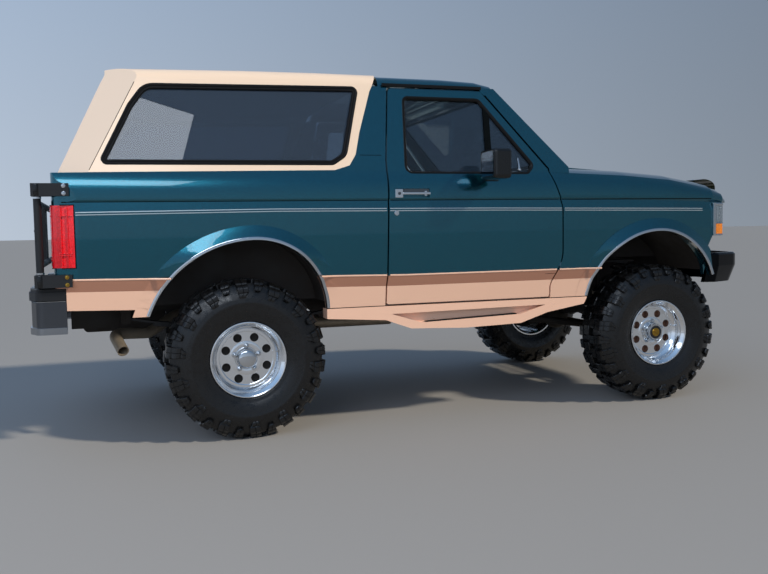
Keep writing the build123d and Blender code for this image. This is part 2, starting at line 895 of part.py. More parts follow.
def pillar(side):
    edge = [(door_points[4][0] + 12, eave_z - 2), (door_points[5][0] + 14, door_points[5][1] + 2)]
    points = [
        edge[0],
        (header_x, header_z + 2),
        (screen_foot_x + 2, screen_foot_z + 2),
        (screen_foot_x + 2, screen_foot_z - 42),
        (edge[1][0], screen_foot_z - 42),
        edge[1],
    ]
    band = [
        (side_y(1440), 1440),
        (side_y(eave_z) - 3, eave_z + 12),
        (side_y(eave_z) - 3 - pillar_t, eave_z + 12),
        (side_y(1440) - pillar_t, 1440),
    ]
    solid = slab_x(outline(band), 200, 900) & slab_y(outline(points), 0, 1100)
    return solid if side > 0 else flip(solid)


def screen_plane(back):
    along = Vector(header_x - screen_foot_x, 0, header_z - screen_foot_z)
    normal = Vector(-along.Z, 0, along.X) * -1
    origin = Vector((header_x + screen_foot_x) / 2, 0, (header_z + screen_foot_z) / 2)
    normal = normal.normalized()
    return Plane(origin=origin - normal * back, x_dir=(0, 1, 0), z_dir=normal)


def windscreen():
    half_h = 285
    plane = screen_plane(18)
    rise = half_h * abs(plane.y_dir.Z)
    margin = pillar_t + seam + 1
    low = side_y(plane.origin.Z - rise) - margin
    high = side_y(plane.origin.Z + rise) - margin
    points = [(-low, -half_h), (-high, half_h), (high, half_h), (low, -half_h)]
    if plane.y_dir.Z < 0:
        points = [(x, -y) for x, y in points]
    return extrude(plane * outline(points, 40), amount=pane_t)


def side_pane(depth, thick):
    # Flat pane parallel to the side of the upper body, a depth inside its skin
    low, high = side_y(1440) - depth, side_y(eave_z) - depth
    section = [(low, 1440), (high, eave_z), (high - thick, eave_z), (low - thick, 1440)]
    return slab_x(outline(section), tail_x + 40, door_front_x)


def side_glass():
    face = outline(top_window, top_window_radii)
    return side_pane(12, pane_t) & slab_y(face, 0, 1100)


def rear_glass():
    low, high = top_rear[0], top_rear[1]
    low_x, high_x = low[0] + 20, high[0] - 10
    points = [(low_x, 1456), (high_x, 1892), (high_x + pane_t, 1892), (low_x + pane_t, 1456)]
    wide = rear_glass_half + 80
    return slab_y(outline(points), -wide, wide) & slab_x(hatch_face(0.8), tail_x - 160, tail_x + 440)


def door_glass():
    face = outline(window_points, window_radii)
    return side_pane(door_glass_in, 5) & slab_y(face, 0, 1100)


def tailgate():
    panel = block(tail_x, tail_x + 55, -tailgate_half, tailgate_half, load_floor_z - floor_t, top_base_z - 4)
    recess = block(tail_x - 1, tail_x + 8, -560, 560, 1090, 1230)
    panel = fillet(panel.edges().filter_by(Axis.X), 18) - recess
    z = load_floor_z + 25
    reach = tailgate_half + 4 - fit
    return panel + rod((tail_x + 28, -reach, z), (tail_x + 28, reach, z), 12)


def inner_fender():
    arch = slab_y(arch_face(front_arch, 24, 760), 480, body_half_w - skin_t - 66)
    hollow = slab_y(arch_face(front_arch, 12, 759), 479, body_half_w)
    x0, x1 = firewall_x + 30 + fit, support_x0 - fit
    apron = slab_y(outline([(x0, 915), (x0, 1400), (x1, 1262), (x1, 915)]), 465, 481)
    return arch - hollow - block(bumper_x0 - 12, 2000, 0, 1100, 700, 958) + apron


def radiator_support():
    half = body_half_w - 103
    frame = block(support_x0, support_x1, -half, half, 770, 1262)
    window = block(1859, 1926, -420, 420, 830, 1230)
    core = block(1880, 1910, -425, 425, 825, 1235)
    side = block(1859, 1926, 480, half + 21, 769, 1060)
    return frame - window - side - flip(side) + core


bumper_x1 = 2285
bumper_z0, bumper_z1 = 750, 945
bumper_crease_z = 859
bumper_t = 34


def bumper_plan(inset, back):
    half = [
        (bumper_x0 - back, body_half_w - 38 - inset),
        (bumper_x0 + 68, body_half_w - 18 - inset),
        (bumper_x1 - 105 - inset * 0.7, body_half_w - 103 - inset),
        (bumper_x1 - inset, body_half_w - 443 - inset * 0.5),
    ]
    radii = [0, 30, 120, 200, 200, 120, 30, 0]
    return outline(half + [(x, -y) for x, y in reversed(half)], radii)


def front_bumper():
    # Upright face with a rolled top edge, tucked in below its crease
    rows = [(bumper_z0, 34), (bumper_crease_z, 0), (bumper_z1 - 12, 0), (bumper_z1, 12)]
    bar = loft([Plane.XY.offset(z) * bumper_plan(inset, 0) for z, inset in rows], ruled=True)
    rows = [(bumper_z0 - 1, 34), (bumper_crease_z, 0), (bumper_z1 + 1, 0)]
    inner = [Plane.XY.offset(z) * bumper_plan(inset + bumper_t, 1) for z, inset in rows]
    bar = bar - loft(inner, ruled=True)
    for side in (1, -1):
        y0, y1 = sorted((side * (rail_out - rail_w + 4), side * (rail_out - 6)))
        bar = bar + block(2000, 2240, y0, y1, 600 + rail_h + fit, 800)
    return bar


rear_bumper_z0, rear_bumper_z1 = 633, 850
rear_bumper_x1 = tail_x + 53


def step_plan(grow, back=0):
    # Plan of the rear bumper, wrapped round both corners
    x0, x1 = tail_x - 120 - grow, rear_bumper_x1 + back
    side, corner = body_half_w - 38 + grow, body_half_w - 128 + grow * 0.5
    half = [(x1, side), (tail_x - 85, side), (x0, corner)]
    points = half + [(x, -y) for x, y in reversed(half)]
    return outline(points, [0, 40, 60, 60, 40, 0])


def rear_bumper():
    # Step bumper: ridge, body and lipped top tread with raised corner pads, and two stays
    z0, z1 = rear_bumper_z0, rear_bumper_z1
    rows = [(z0, z0 + 34, 9), (z0 + 34, z1 - 52, 0), (z1 - 52, z1 - 44, -6), (z1 - 44, z1, 9)]
    bar = None
    for low, high, grow in rows:
        band = slab_z(step_plan(grow), low, high)
        bar = band if bar is None else bar + band
    bar = bar - slab_z(step_plan(-34, 1), z0 - 1, z1 - 30)
    inside = body_half_w - 72
    bar = bar - block(tail_x - 6, rear_bumper_x1 + 1, -inside, inside, z0 - 1, z1 + 1)
    for side in (1, -1):
        y0, y1 = sorted((side * pad_in, side * body_half_w))
        corner = block(tail_x - 200, rear_bumper_x1, y0, y1, z1 - 1, z1 + pad_h)
        pad = slab_z(step_plan(0), z1 - 1, z1 + pad_h) & corner
        bar = bar + (pad - block(tail_x - 6, rear_bumper_x1 + 1, -inside, inside, z1 - 2, z1 + 50))
    ball = rod((ball_x, 0, z1 - 40), (ball_x, 0, z1 + 10), ball_r)
    stay = block(tail_x - 100, tail_x + 55 - fit, rail_out - rail_w, rail_out, 660, 740)
    return bar - ball + stay + flip(stay)


pad_h = 14
pad_in = 640


ball_r = 12.7
ball_x = tail_x - 30


# Tyre carrier post, brackets and frame behind the tailgate
post_x = tail_x - 65
post_y = 45 - body_half_w
post_r = 19
post_pin_r = 8
bracket_rows = ((874, 938), (1334, 1398))
bracket_t = 7


def lug_bracket(z0, z1):
    # Strap behind the corner with the pin's hole, and the plate along the body side
    outer = -body_half_w - bracket_t
    strap = block(post_x - 26, tail_x - seam, outer, post_y + 28, z0, z1)
    plate = block(tail_x - seam - 1, tail_x + 88, outer, -body_half_w - fit, z0, z1)
    hole = rod((post_x, post_y, z0 - 1), (post_x, post_y, z1 + 1), post_pin_r + fit)
    return strap + plate - hole


def tyre_carrier():
    top, low = 1300, 985
    z0, z1 = bracket_rows[0][1] + fit, bracket_rows[1][0] - fit
    post = rod((post_x, post_y, z0), (post_x, post_y, z1), post_r)
    post = post + rod((post_x, post_y, z0 - 24), (post_x, post_y, z1 + 24), post_pin_r)
    far_y = body_half_w - 363
    upper_arm = rod((post_x, post_y, top), (post_x, far_y, top), 17)
    lower_arm = rod((post_x, post_y, low), (post_x, far_y, low), 17)
    stay = rod((post_x, far_y, low - 30), (post_x, far_y, top + 30), 17)
    second_y = post_y + 118
    second = rod((post_x, second_y, low), (post_x, second_y, top), 14)
    plate_x = post_x - 38
    frame = post + upper_arm + lower_arm + stay + second
    frame = frame + block(plate_x, post_x - 12, -95, 95, low - 10, top + 10)
    for i in range(stud_count):
        angle = math.radians(90 + 360 / stud_count * i)
        y, z = stud_pcd / 2 * math.cos(angle), (low + top) / 2 + stud_pcd / 2 * math.sin(angle)
        frame = frame + rod((plate_x + 2, y, z), (plate_x - stud_l, y, z), stud_r)
    return frame


def running_board():
    low = [
        (-719, 641),
        (-372, 617),
        (-214, 560),
        (134, 546),
        (497, 555),
        (683, 613),
        (937, 653),
        (958, 690),
    ]
    face = outline(low + [(958, 697), (-719, 697)])
    inner_y, outer_y = body_half_w - 123, body_half_w - 31
    board = slab_y(face, inner_y, outer_y)
    shelf = block(-640, 780, sill_box_y - 60, inner_y + 1, 670, sill_z - fit)
    pocket = outline([(-334, 650), (-147, 592), (495, 611), (667, 660)])
    pocket = slab_y(pocket, outer_y - 42, outer_y + 8)
    for x in (-380, 560):
        board = board + rod((x, rail_out + fit, 640), (x, inner_y + 10, 640), 14)
    return board + shelf - pocket


def mirror_set():
    w = body_half_w
    head = block(200, 313, w + 47, w + 232, 1415, 1585)
    head = fillet(head.edges(), 22)
    arm = rod((300, side_y(1440) - 4, 1440), (262, w + 57, 1450), 11)
    foot = block(255, 345, side_y(1440) - 20, side_y(1440) + 22, 1415, 1468)
    door_side = Pos(0, fit, 0) * slab_x(wall_face(door_t), 100, 500)
    return head + arm + foot - door_side


def front_seat(side):
    y = side * 420
    cushion = [(-260, 1010), (-300, 1140), (240, 1160), (270, 1060), (250, 1000)]
    back = [(-290, 1080), (-420, 1620), (-340, 1650), (-200, 1140)]
    head = [(-418, 1655), (-432, 1800), (-372, 1810), (-352, 1660)]
    seat = slab_y(outline(cushion, 30), y - 260, y + 260) + slab_y(outline(back, 30), y - 255, y + 255)
    seat = seat + slab_y(outline(head, 24), y - 130, y + 130)
    seat = seat + block(-400, -360, y - 60, y + 60, 1640, 1662)
    base = block(-200, 200, y - 200, y + 200, floor_z, 1005)
    return seat + base


def rear_seat():
    cushion = [(-1000, load_floor_z), (-1010, 1100), (-560, 1130), (-540, load_floor_z)]
    back = [(-1000, 1080), (-1130, 1560), (-1050, 1590), (-900, 1110)]
    return slab_y(outline(cushion, [5, 30, 40, 5]), -560, 560) + slab_y(outline(back, 30), -555, 555)


def dashboard():
    back = firewall_x - fit
    points = [(back, 1130), (640, 1090), (560, 1150), (540, 1330), (600, 1420), (back, 1446)]
    half = body_half_w - 183
    return slab_y(outline(points, [0, 30, 30, 40, 60, 0]), -half, half)


column_y = 400
column_dir = Vector(-math.cos(math.radians(32)), 0, math.sin(math.radians(32)))
column_foot = Vector(600, column_y, 1215)
wheel_mid = column_foot + column_dir * 190


def steering_column():
    return rod(tuple(column_foot + column_dir * 4), tuple(wheel_mid - column_dir * (20 + fit)), 22)


def steering_wheel():
    plane = Plane(origin=wheel_mid, x_dir=(0, 1, 0), z_dir=column_dir)
    rim = plane * Torus(178, 13)
    hub = plane * Cylinder(48, 40)
    out = rim + hub
    for angle in (0, 120, 240):
        spoke = Rot(0, 0, angle + 90) * Pos(110, 0, 0) * Box(130, 36, 14)
        out = out + plane * spoke
    return out


# Steering and front axle
kingpin_y = 800
kingpin_r = 14
knuckle_half = 88
yoke_t = 24
yoke_r = 34
brake_r = 150
steer_arm_x = 108
tie_z = axle_z - 8
tie_drop = 28


def knuckle():
    # Upright on the kingpin line, its spindle hub and the steering arm
    x, y, z = front_axle_x, kingpin_y, axle_z
    upright = block(x - 45, x + 45, y - 30, y + 30, z - knuckle_half, z + knuckle_half)
    reach = knuckle_half + yoke_t - 2
    kingpin = rod((x, y, z - reach), (x, y, z + reach), kingpin_r)
    hub = rod((x, y, z), (x, hub_face_y, z), 80)
    disc = rod((x, y + yoke_r + 8, z), (x, y + yoke_r + 26, z), brake_r)
    joint_x = x + steer_arm_x
    arm = outline([(x + 30, y - 22), (x + 30, y + 22), (joint_x + 18, y + 18), (joint_x + 18, y - 18)])
    arm = slab_z(arm, tie_z - 10, tie_z + 10)
    ball = rod((joint_x, y, tie_z - tie_drop - 10), (joint_x, y, tie_z - 9), 9)
    return upright + kingpin + hub + disc + arm + ball


def tie_rod():
    x, z = front_axle_x + steer_arm_x, tie_z - tie_drop
    bar = rod((x, -kingpin_y, z), (x, kingpin_y, z), 12)
    for side in (1, -1):
        bar = bar + rod((x, side * kingpin_y, z - 13), (x, side * kingpin_y, z + 13), 20)
        bar = bar - rod((x, side * kingpin_y, z - 20), (x, side * kingpin_y, z + 20), 9 + fit)
    return bar


def beam_yoke():
    # Fork above and below the knuckle, with the holes of its kingpin
    x, y, z = front_axle_x, kingpin_y, axle_z
    inner, outer = knuckle_half + fit, knuckle_half + yoke_t
    end = rod((x, y, z - outer), (x, y, z + outer), yoke_r)
    fork = block(x - yoke_r, x + yoke_r, y - 100, y, z - outer, z + outer) + end
    gap = block(x - yoke_r - 1, x + yoke_r + 1, y - 60, y + yoke_r + 1, z - inner, z + inner)
    hole = rod((x, y, z - outer - 1), (x, y, z + outer + 1), kingpin_r + fit)
    return fork - gap - hole


beam_dx = 42
pivot_y = 200
pivot_up = 110
seat_up = 84
seat_half = 62
radius_arm_y = 488
radius_arm_r = 24
arm_end_y = 405


def front_axle():
    # Twin beams: each runs from its knuckle to a pivot under the other rail
    out = []
    for side, dx in ((1, -beam_dx), (-1, beam_dx)):
        x = front_axle_x + dx
        pivot_z = axle_z + pivot_up
        face = outline([
            (708, axle_z - 50),
            (708, axle_z + 50),
            (-pivot_y, pivot_z + 40),
            (-pivot_y, pivot_z - 40),
        ])
        beam = slab_x(face, x - 32, x + 32)
        pivot = rod((x - 36, -pivot_y, pivot_z), (x + 36, -pivot_y, pivot_z), 42)
        x0, x1 = front_axle_x - seat_half, front_axle_x + seat_half
        y0, y1 = spring_y - seat_half, spring_y + seat_half
        seat = block(x0, x1, y0, y1, axle_z, axle_z + seat_up)
        arm = rod((front_axle_x - 30, radius_arm_y, axle_z - 10), (arm_end_x, arm_end_y, 545), radius_arm_r)
        beam = beam_yoke() + beam + pivot + seat + arm
        out.append(beam if side > 0 else flip(beam))
    pumpkin = Pos(front_axle_x - 50, 230, axle_z + 20) * Sphere(112)
    out[0] = out[0] + (pumpkin - block(front_axle_x - 8, front_axle_x + 300, 0, 500, 200, 700))
    return out


def pivot_bracket(side, dx):
    # Hangs the far end of a beam from the crossmember
    x = front_axle_x + dx
    y = -side * pivot_y
    z = axle_z + pivot_up
    ears = block(x - 46, x + 46, y - 44, y + 44, z, 666)
    return ears - block(x - 36 - fit, x + 36 + fit, y - 50, y + 50, z - 60, z + 46)


# Coil spring: bar, mean coil radius and turns
coil_bar_r = 9
coil_r = 50
coil_turns = 6
coil_steps = 12


def coil_spring():
    # A six-sided bar wound between two flat end seats
    low, high = axle_z + seat_up, tower_z - 12
    seat_t = 8
    z0, z1 = low + seat_t + coil_bar_r - 4, high - seat_t - coil_bar_r + 4
    steps = coil_turns * coil_steps
    lead = math.atan2((z1 - z0) / coil_turns, 2 * math.pi * coil_r)
    faces = []
    for i in range(steps + 1):
        angle = 2 * math.pi / coil_steps * i
        x, y = polar(coil_r, angle)
        along = Vector(-math.sin(angle), math.cos(angle), math.tan(lead))
        place = Plane(
            origin=(front_axle_x + x, spring_y + y, z0 + (z1 - z0) * i / steps),
            x_dir=(math.cos(angle), math.sin(angle), 0),
            z_dir=along,
        )
        faces.append(place * RegularPolygon(coil_bar_r, 6))
    coil = loft(faces, ruled=True)
    for z in (low, high - seat_t):
        seat = extrude(Pos(front_axle_x, spring_y, z) * Circle(coil_r + coil_bar_r), amount=seat_t)
        coil = coil + seat
    return coil


def leaf_pack():
    # Concentric arcs: each leaf lies under the one before and is shorter
    span = (leaf_front_x - leaf_rear_x) / 2
    mid_x = (leaf_front_x + leaf_rear_x) / 2
    r = (span**2 + leaf_rise**2) / (2 * leaf_rise)
    pack = None

    def at(radius, along):
        angle = along / r
        return (mid_x + radius * math.sin(angle), leaf_z + r - radius * math.cos(angle))

    for i, trim in enumerate(leaf_trims):
        r0, r1 = r + i * leaf_t, r + (i + 1) * leaf_t
        end = span - trim
        upper = ThreePointArc(at(r0, -end), at(r0, 0), at(r0, end))
        lower = ThreePointArc(at(r1, -end), at(r1, 0), at(r1, end))
        rim = upper + lower + Line(at(r0, end), at(r1, end)) + Line(at(r0, -end), at(r1, -end))
        leaf = slab_y(make_face(rim), spring_y - 32, spring_y + 32)
        pack = leaf if pack is None else pack + leaf
    for x in (leaf_front_x, leaf_rear_x):
        z = leaf_z + leaf_rise - 6
        pack = pack + rod((x, spring_y - 32, z), (x, spring_y + 32, z), 22)
    return pack


leaf_front_x, leaf_rear_x = -560, -1790
leaf_rise = 66
leaf_trims = (0, 150, 300)
leaf_t = 13
leaf_z = 600


def rear_axle():
    x, z = rear_axle_x, axle_z
    tube = rod((x, -800, z), (x, 800, z), 45)
    pumpkin = Pos(x, 0, z) * Sphere(140)
    nose = rod((x, 0, z), (x + 230, 0, z + 30), 52)
    axle = tube + pumpkin + nose
    for side in (1, -1):
        axle = axle + rod((x, side * 790, z), (x, side * hub_face_y, z), 150)
        y0, y1 = sorted((side * (spring_y - 30), side * (spring_y + 30)))
        axle = axle + block(x - 60, x + 60, y0, y1, z + 30, leaf_z - 3 * leaf_t - fit)
        y0, y1 = sorted((side * 588, side * 620))
        axle = axle + block(x - 92, x - 20, y0, y1, z - 16, z + 16)
    return axle


def shocks():
    # Each is a body tube and a thinner rod, from the axle up to its shelf
    rear_x = rear_axle_x - 200
    front_x = front_axle_x - 140
    legs = (
        ((rear_axle_x - 70, 604, axle_z + 26), (rear_x, 604, rear_shock_z - 5)),
        ((front_x, 477, axle_z + 33.4), (front_x, 500, tower_z - 13)),
    )
    out = []
    for low, high in legs:
        low, high = Vector(*low), Vector(*high)
        middle = low + (high - low) * 0.55
        out += both(rod(tuple(low), tuple(middle), 24) + rod(tuple(middle), tuple(high), 11))
    return out


def prop_shaft(start, end, r):
    # Tube with a thinner stub at each end
    start, end = Vector(*start), Vector(*end)
    along = (end - start).normalized()
    tube = rod(tuple(start + along * 45), tuple(end - along * 45), r)
    return tube + rod(tuple(start), tuple(end), r * 0.45)


def exhaust():
    # Tail pipe with an oval silencer beside the gearbox
    side = engine_half + seam
    y = -side - 44
    points = [
        (980, -side, 770),
        (980, y, 770),
        (780, y, 556),
        (-760, y, 556),
        (-900, y, 650),
        (-1480, y, 650),
        (-1660, -430, 556),
        (-1860, -560, 575),
        (-1815, -720, 495),
    ]
    oval = Pos(y, 556) * Ellipse(60, 44)
    can = slab_x(oval, -640, -120)
    bore = rod((-641, y, 556), (-119, y, 556), 30)
    return pipe(points, [40, 120, 90, 90, 90, 90, 60], 32, 28) + (can - bore)


engine_half = 250


def power_unit():
    # Engine block, gearbox and transfer case in one plain solid
    low = 698 + fit
    engine = block(860, 1420, -engine_half, engine_half, low, 1210)
    box_low = 634 + fit
    box = [(861, low), (861, 900), (560, 880), (120, 840), (-60, 800), (-60, box_low), (700, box_low)]
    case = block(50, 200, -120, 275, 530, 700)
    return engine + slab_y(outline(box), -165, 165) + case


# Mud tyre: angles of its blocks, and the radii and places that shape its section
long_blocks = 14
block_half = math.radians(3.8)
short_half = math.radians(3.2)
root_r = 418
shoulder_r = 398
side_r = 332
block_in = 112
cone_r = 322
bore_r = rim_seat_r + 1.8
channel_half = 4
channel_r = 404


def polar(r, angle):
    return (r * math.cos(angle), r * math.sin(angle))


def block_ring(r_top, r_root, phase, with_short):
    # Closed outline of one long block a pitch, with a short one between on request
    pitch = 2 * math.pi / long_blocks
    chord = r_root * math.cos(pitch / 2 - block_half) / math.cos(short_half)
    points = []
    for i in range(long_blocks):
        a = phase + i * pitch
        points += [polar(r_root, a - block_half), polar(r_top, a - block_half)]
        points += [polar(r_top, a + block_half), polar(r_root, a + block_half)]
        if with_short:
            b = a + pitch / 2
            points += [polar(chord, b - short_half), polar(r_top, b - short_half)]
            points += [polar(r_top, b + short_half), polar(chord, b + short_half)]
    return outline(points)


def prism(sides, rows):
    # Regular prism along Y, its radius given at each place
    corners = [math.pi * 2 / sides * i for i in range(sides)]
    faces = [Plane.XZ.offset(-y) * outline([polar(r, a) for a in corners]) for y, r in rows]
    return loft(faces, ruled=True)


def tread_half(phase):
    # All blocks across the tread, and the long ones running out onto the sidewall
    half = tyre_w / 2
    band = slab_y(block_ring(tread_r, root_r, phase, True), channel_half, block_in)
    inner_row = Plane.XZ.offset(-block_in) * block_ring(tread_r, root_r, phase, False)
    outer_row = Plane.XZ.offset(-half) * block_ring(shoulder_r, side_r, phase, False)
    return band + loft([inner_row, outer_row], ruled=True)


def tyre():
    # A corner of one block is the lowest point, on the ground
    half = tyre_w / 2
    low = -math.pi / 2 + block_half
    whole = prism(2 * long_blocks, [(-channel_half, channel_r), (channel_half, channel_r)])
    whole = whole + tread_half(low) + flip(tread_half(low + math.pi / long_blocks / 2))
    bead = bead_half - 2 * fit
    whole = whole - prism(2 * long_blocks, [(-half, bore_r), (half, bore_r)])
    cut = prism(2 * long_blocks, [(bead, bore_r), (half + 1, cone_r)])
    return whole - cut - flip(cut)


def rim():
    half = rim_w / 2
    seat = bead_half
    inner_r = rim_seat_r - rim_wall
    points = [
        (rim_lip_r, half),
        (rim_lip_r, half - 7),
        (rim_seat_r, seat),
        (rim_seat_r, -seat),
        (rim_lip_r, 7 - half),
        (rim_lip_r, -half),
        (rim_lip_r - 9, -half),
        (inner_r, -seat),
        (inner_r, disc_back),
        (0, disc_back),
        (0, disc_face + cap_h),
        (cap_r - 12, disc_face + cap_h),
        (cap_r, disc_face + cap_h - 14),
        (cap_r, disc_face),
        (inner_r - 18, disc_face),
        (inner_r - 6, disc_face + 14),
        (inner_r - 2, half - 22),
        (rim_lip_r - 8, half),
    ]
    wheel = revolve(make_face(Polyline(*points, close=True)), axis=Axis.Y)
    for i in range(disc_holes):
        angle = math.radians(360 / disc_holes * i + 22.5)
        x, z = disc_hole_pcd / 2 * math.cos(angle), disc_hole_pcd / 2 * math.sin(angle)
        wheel = wheel - rod((x, disc_back - 5, z), (x, disc_face + 5, z), disc_hole_r)
    return wheel


tank_half = 270
tank_z = 560


def fuel_tank():
    # Stamped tank between the rails, with a pressed rib along each long face
    x0, x1 = tail_x + 115 + seam, tail_x + 580
    tank = block(x0, x1, -tank_half, tank_half, tank_z, tank_z + 130)
    tank = fillet(tank.edges().filter_by(Axis.Y), 30)
    for y in (-150, 0, 150):
        tank = tank + block(x0 + 75, x1 - 60, y - 18, y + 18, tank_z - 8, tank_z + 2)
    return tank


def main():
    os.makedirs("parts", exist_ok=True)

    save("frame_rails", *both(ladder_rail()))
    save("frame_crossmembers", *crossmembers())
    save("power_unit", power_unit())
    rear_shaft = prop_shaft((-64.3, 0, 690), (rear_axle_x + 232.4, 0, axle_z + 31), 38)
    front_shaft = prop_shaft((201.6, 230, 580), (front_axle_x - 163.2, 230, axle_z + 30), 28)
    save("propeller_shafts", rear_shaft, front_shaft)
    save("front_axle", *front_axle())
    save("coil_springs", *both(coil_spring()))
    save("rear_axle", rear_axle())
    save("leaf_springs", *both(leaf_pack()))
    save("shock_absorbers", *shocks())
    save("fuel_tank", fuel_tank())
    save("exhaust", exhaust())
    save("floor_pan", floor_pan())
    save("rear_wheelhouses", *both(wheelhouse()))
    save("cowl_firewall", cowl_firewall())
    save("door_hinges", *[piece for z in hinge_zs for piece in both(door_hinge(z))])
    save("quarter_panels", *both(quarter_panel()))
    save("cab_roof", cab_roof())
    save("rear_top", rear_top())
    save("fixed_glass", *both(side_glass()), rear_glass(), windscreen())
    save("front_fenders", *both(front_fender()))
    save("inner_fenders", *both(inner_fender()))
    save("radiator_support", radiator_support())
    save("hood", hood())
    save("hood_deflector", hood_deflector())
    save("grille", grille())
    save("headlamps", *both(headlamp()))
    save("tail_lamps", *both(tail_lamp()))
    save("front_bumper", front_bumper())
    save("rear_bumper", rear_bumper())
    save("running_boards", *both(running_board()))
    save("tailgate", tailgate())
    save("carrier_brackets", *[lug_bracket(z0, z1) for z0, z1 in bracket_rows])
    save("tyre_carrier", tyre_carrier())
    shell = door_shell()
    glass = door_glass()
    mirrors = mirror_set()
    for name, turn in (("left", lambda s: s), ("right", flip)):
        save(f"door_{name}", turn(shell))
        save(f"door_glass_{name}", turn(glass))
        save(f"mirror_{name}", turn(mirrors))
    save("front_seats", front_seat(1), front_seat(-1))
    save("rear_seat", rear_seat())
    save("dashboard", dashboard() + steering_column())
    save("steering_wheel", steering_wheel())
    upright = knuckle()
    save("knuckle_left", upright)
    save("knuckle_right", flip(upright))
    save("tie_rod", tie_rod())
    rubber = tyre()
    wheel = rim()
    for end, x in (("rear", rear_axle_x), ("front", front_axle_x)):
        for name, side in (("left", 1), ("right", -1)):
            place = Pos(x, side * wheel_y, axle_z)
            save(f"tyre_{end}_{name}", place * (rubber if side > 0 else flip(rubber)))
            save(f"rim_{end}_{name}", place * (wheel if side > 0 else flip(wheel)))


main()
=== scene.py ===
import math

import bmesh
import bpy
from mathutils import Matrix, Vector
from mathutils.bvhtree import BVHTree


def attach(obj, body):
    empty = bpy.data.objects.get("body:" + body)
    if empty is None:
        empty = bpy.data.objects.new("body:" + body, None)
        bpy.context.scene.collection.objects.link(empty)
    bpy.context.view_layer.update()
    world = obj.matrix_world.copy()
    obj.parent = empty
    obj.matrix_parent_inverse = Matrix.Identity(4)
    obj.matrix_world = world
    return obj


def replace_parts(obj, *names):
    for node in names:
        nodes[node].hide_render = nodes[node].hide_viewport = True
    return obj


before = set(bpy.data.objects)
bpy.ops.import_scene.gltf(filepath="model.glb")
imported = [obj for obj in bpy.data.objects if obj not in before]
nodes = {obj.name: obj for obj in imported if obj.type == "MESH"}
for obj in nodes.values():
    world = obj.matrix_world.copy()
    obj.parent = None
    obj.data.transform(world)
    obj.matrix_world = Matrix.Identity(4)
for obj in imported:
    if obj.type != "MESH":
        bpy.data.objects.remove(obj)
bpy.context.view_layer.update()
print("stage: frame loaded,", len(nodes), "nodes")


# Materials: colours in sRGB hex, sizes of patterns in metres

finishes = {}


def linear(hexColour):
    parts = [int(hexColour[i:i + 2], 16) / 255 for i in (1, 3, 5)]
    return tuple(c / 12.92 if c <= 0.04045 else ((c + 0.055) / 1.055) ** 2.4 for c in parts) + (1.0,)


def addNode(tree, kind, inputs=None, **settings):
    # An input takes a value, a hex colour, or another node's output to link from
    node = tree.nodes.new("ShaderNode" + kind)
    for name, value in settings.items():
        setattr(node, name, value)
    for name, value in (inputs or {}).items():
        if isinstance(value, bpy.types.NodeSocket):
            tree.links.new(value, node.inputs[name])
        else:
            node.inputs[name].default_value = linear(value) if isinstance(value, str) else value
    return node


def newMaterial(name, colour, **inputs):
    material = bpy.data.materials.new(name)
    material.use_nodes = True
    material.diffuse_color = linear(colour)
    shader = material.node_tree.nodes["Principled BSDF"]
    shader.inputs["Base Color"].default_value = linear(colour)
    for key, value in inputs.items():
        shader.inputs[key.replace("_", " ")].default_value = value
    finishes[name] = material
    return material.node_tree, shader


def pattern(tree, kind, size, inputs=None, **settings):
    # A texture that repeats at a real size; a wave of scale 1 has a period of 0.314 m
    coords = addNode(tree, "TexCoord")
    scale = (0.314 if kind == "Wave" else 1) / size
    inputs = {"Vector": coords.outputs["Object"], "Scale": scale, **(inputs or {})}
    return addNode(tree, "Tex" + kind, inputs, **settings).outputs["Distance" if kind == "Voronoi" else "Fac"]


def ranged(tree, value, low, high, start=0.0, end=1.0):
    spread = addNode(tree, "MapRange", {
        "Value": value, "From Min": start, "From Max": end, "To Min": low, "To Max": high,
    })
    return spread.outputs["Result"]


def worked(tree, operation, first, second):
    return addNode(tree, "Math", {0: first, 1: second}, operation=operation).outputs["Value"]


def mixed(tree, factor, first, second, shader=None):
    # Two colours or sockets by a factor, and into the shader's base colour if one is given
    mix = addNode(tree, "Mix", {"Factor": factor, 6: first, 7: second}, data_type="RGBA").outputs[2]
    if shader:
        tree.links.new(mix, shader.inputs["Base Color"])
    return mix


def bumpIn(tree, shader, height, strength, depth):
    bump = addNode(tree, "Bump", {"Strength": strength, "Distance": depth, "Height": height})
    tree.links.new(bump.outputs["Normal"], shader.inputs["Normal"])


def finish(name, colour, wear=None, mottle=None, relief=None, **inputs):
    # Wear: lowest and highest roughness, and the size of its patches
    # Mottle: two colours over the same patches
    # Relief: strength and depth of a bump, then its pattern
    tree, shader = newMaterial(name, colour, **inputs)
    if wear:
        low, high, size = wear
        patches = pattern(tree, "Noise", size, {"Detail": 6.0, "Roughness": 0.6})
        tree.links.new(ranged(tree, patches, low, high, 0.3, 0.7), shader.inputs["Roughness"])
        if mottle:
            mixed(tree, patches, *mottle, shader)
    if relief:
        bumpIn(tree, shader, pattern(tree, *relief[2:]), *relief[:2])


enamel = {
    # The darker tan is painted shade on the band's recessed facet
    "green": "#1F7082", "greenDeep": "#0D4655", "tan": "#F0C2A6", "tanPaintedShade": "#B88268",
    # Size of a flake, and how metallic each colour is
    "flake": 0.0011, "flakeGreen": 0.9, "flakeTan": 0.3,
    # The colours part at a line that climbs from frontX to rearX, and the tan ends at noseX
    "lineFront": 0.872, "lineRear": 0.908, "frontX": -0.25, "rearX": -2.14, "noseX": 1.74,
    # The recessed facet, and the painted shade on it, reach this far below the line
    "creaseDrop": 0.06,
}


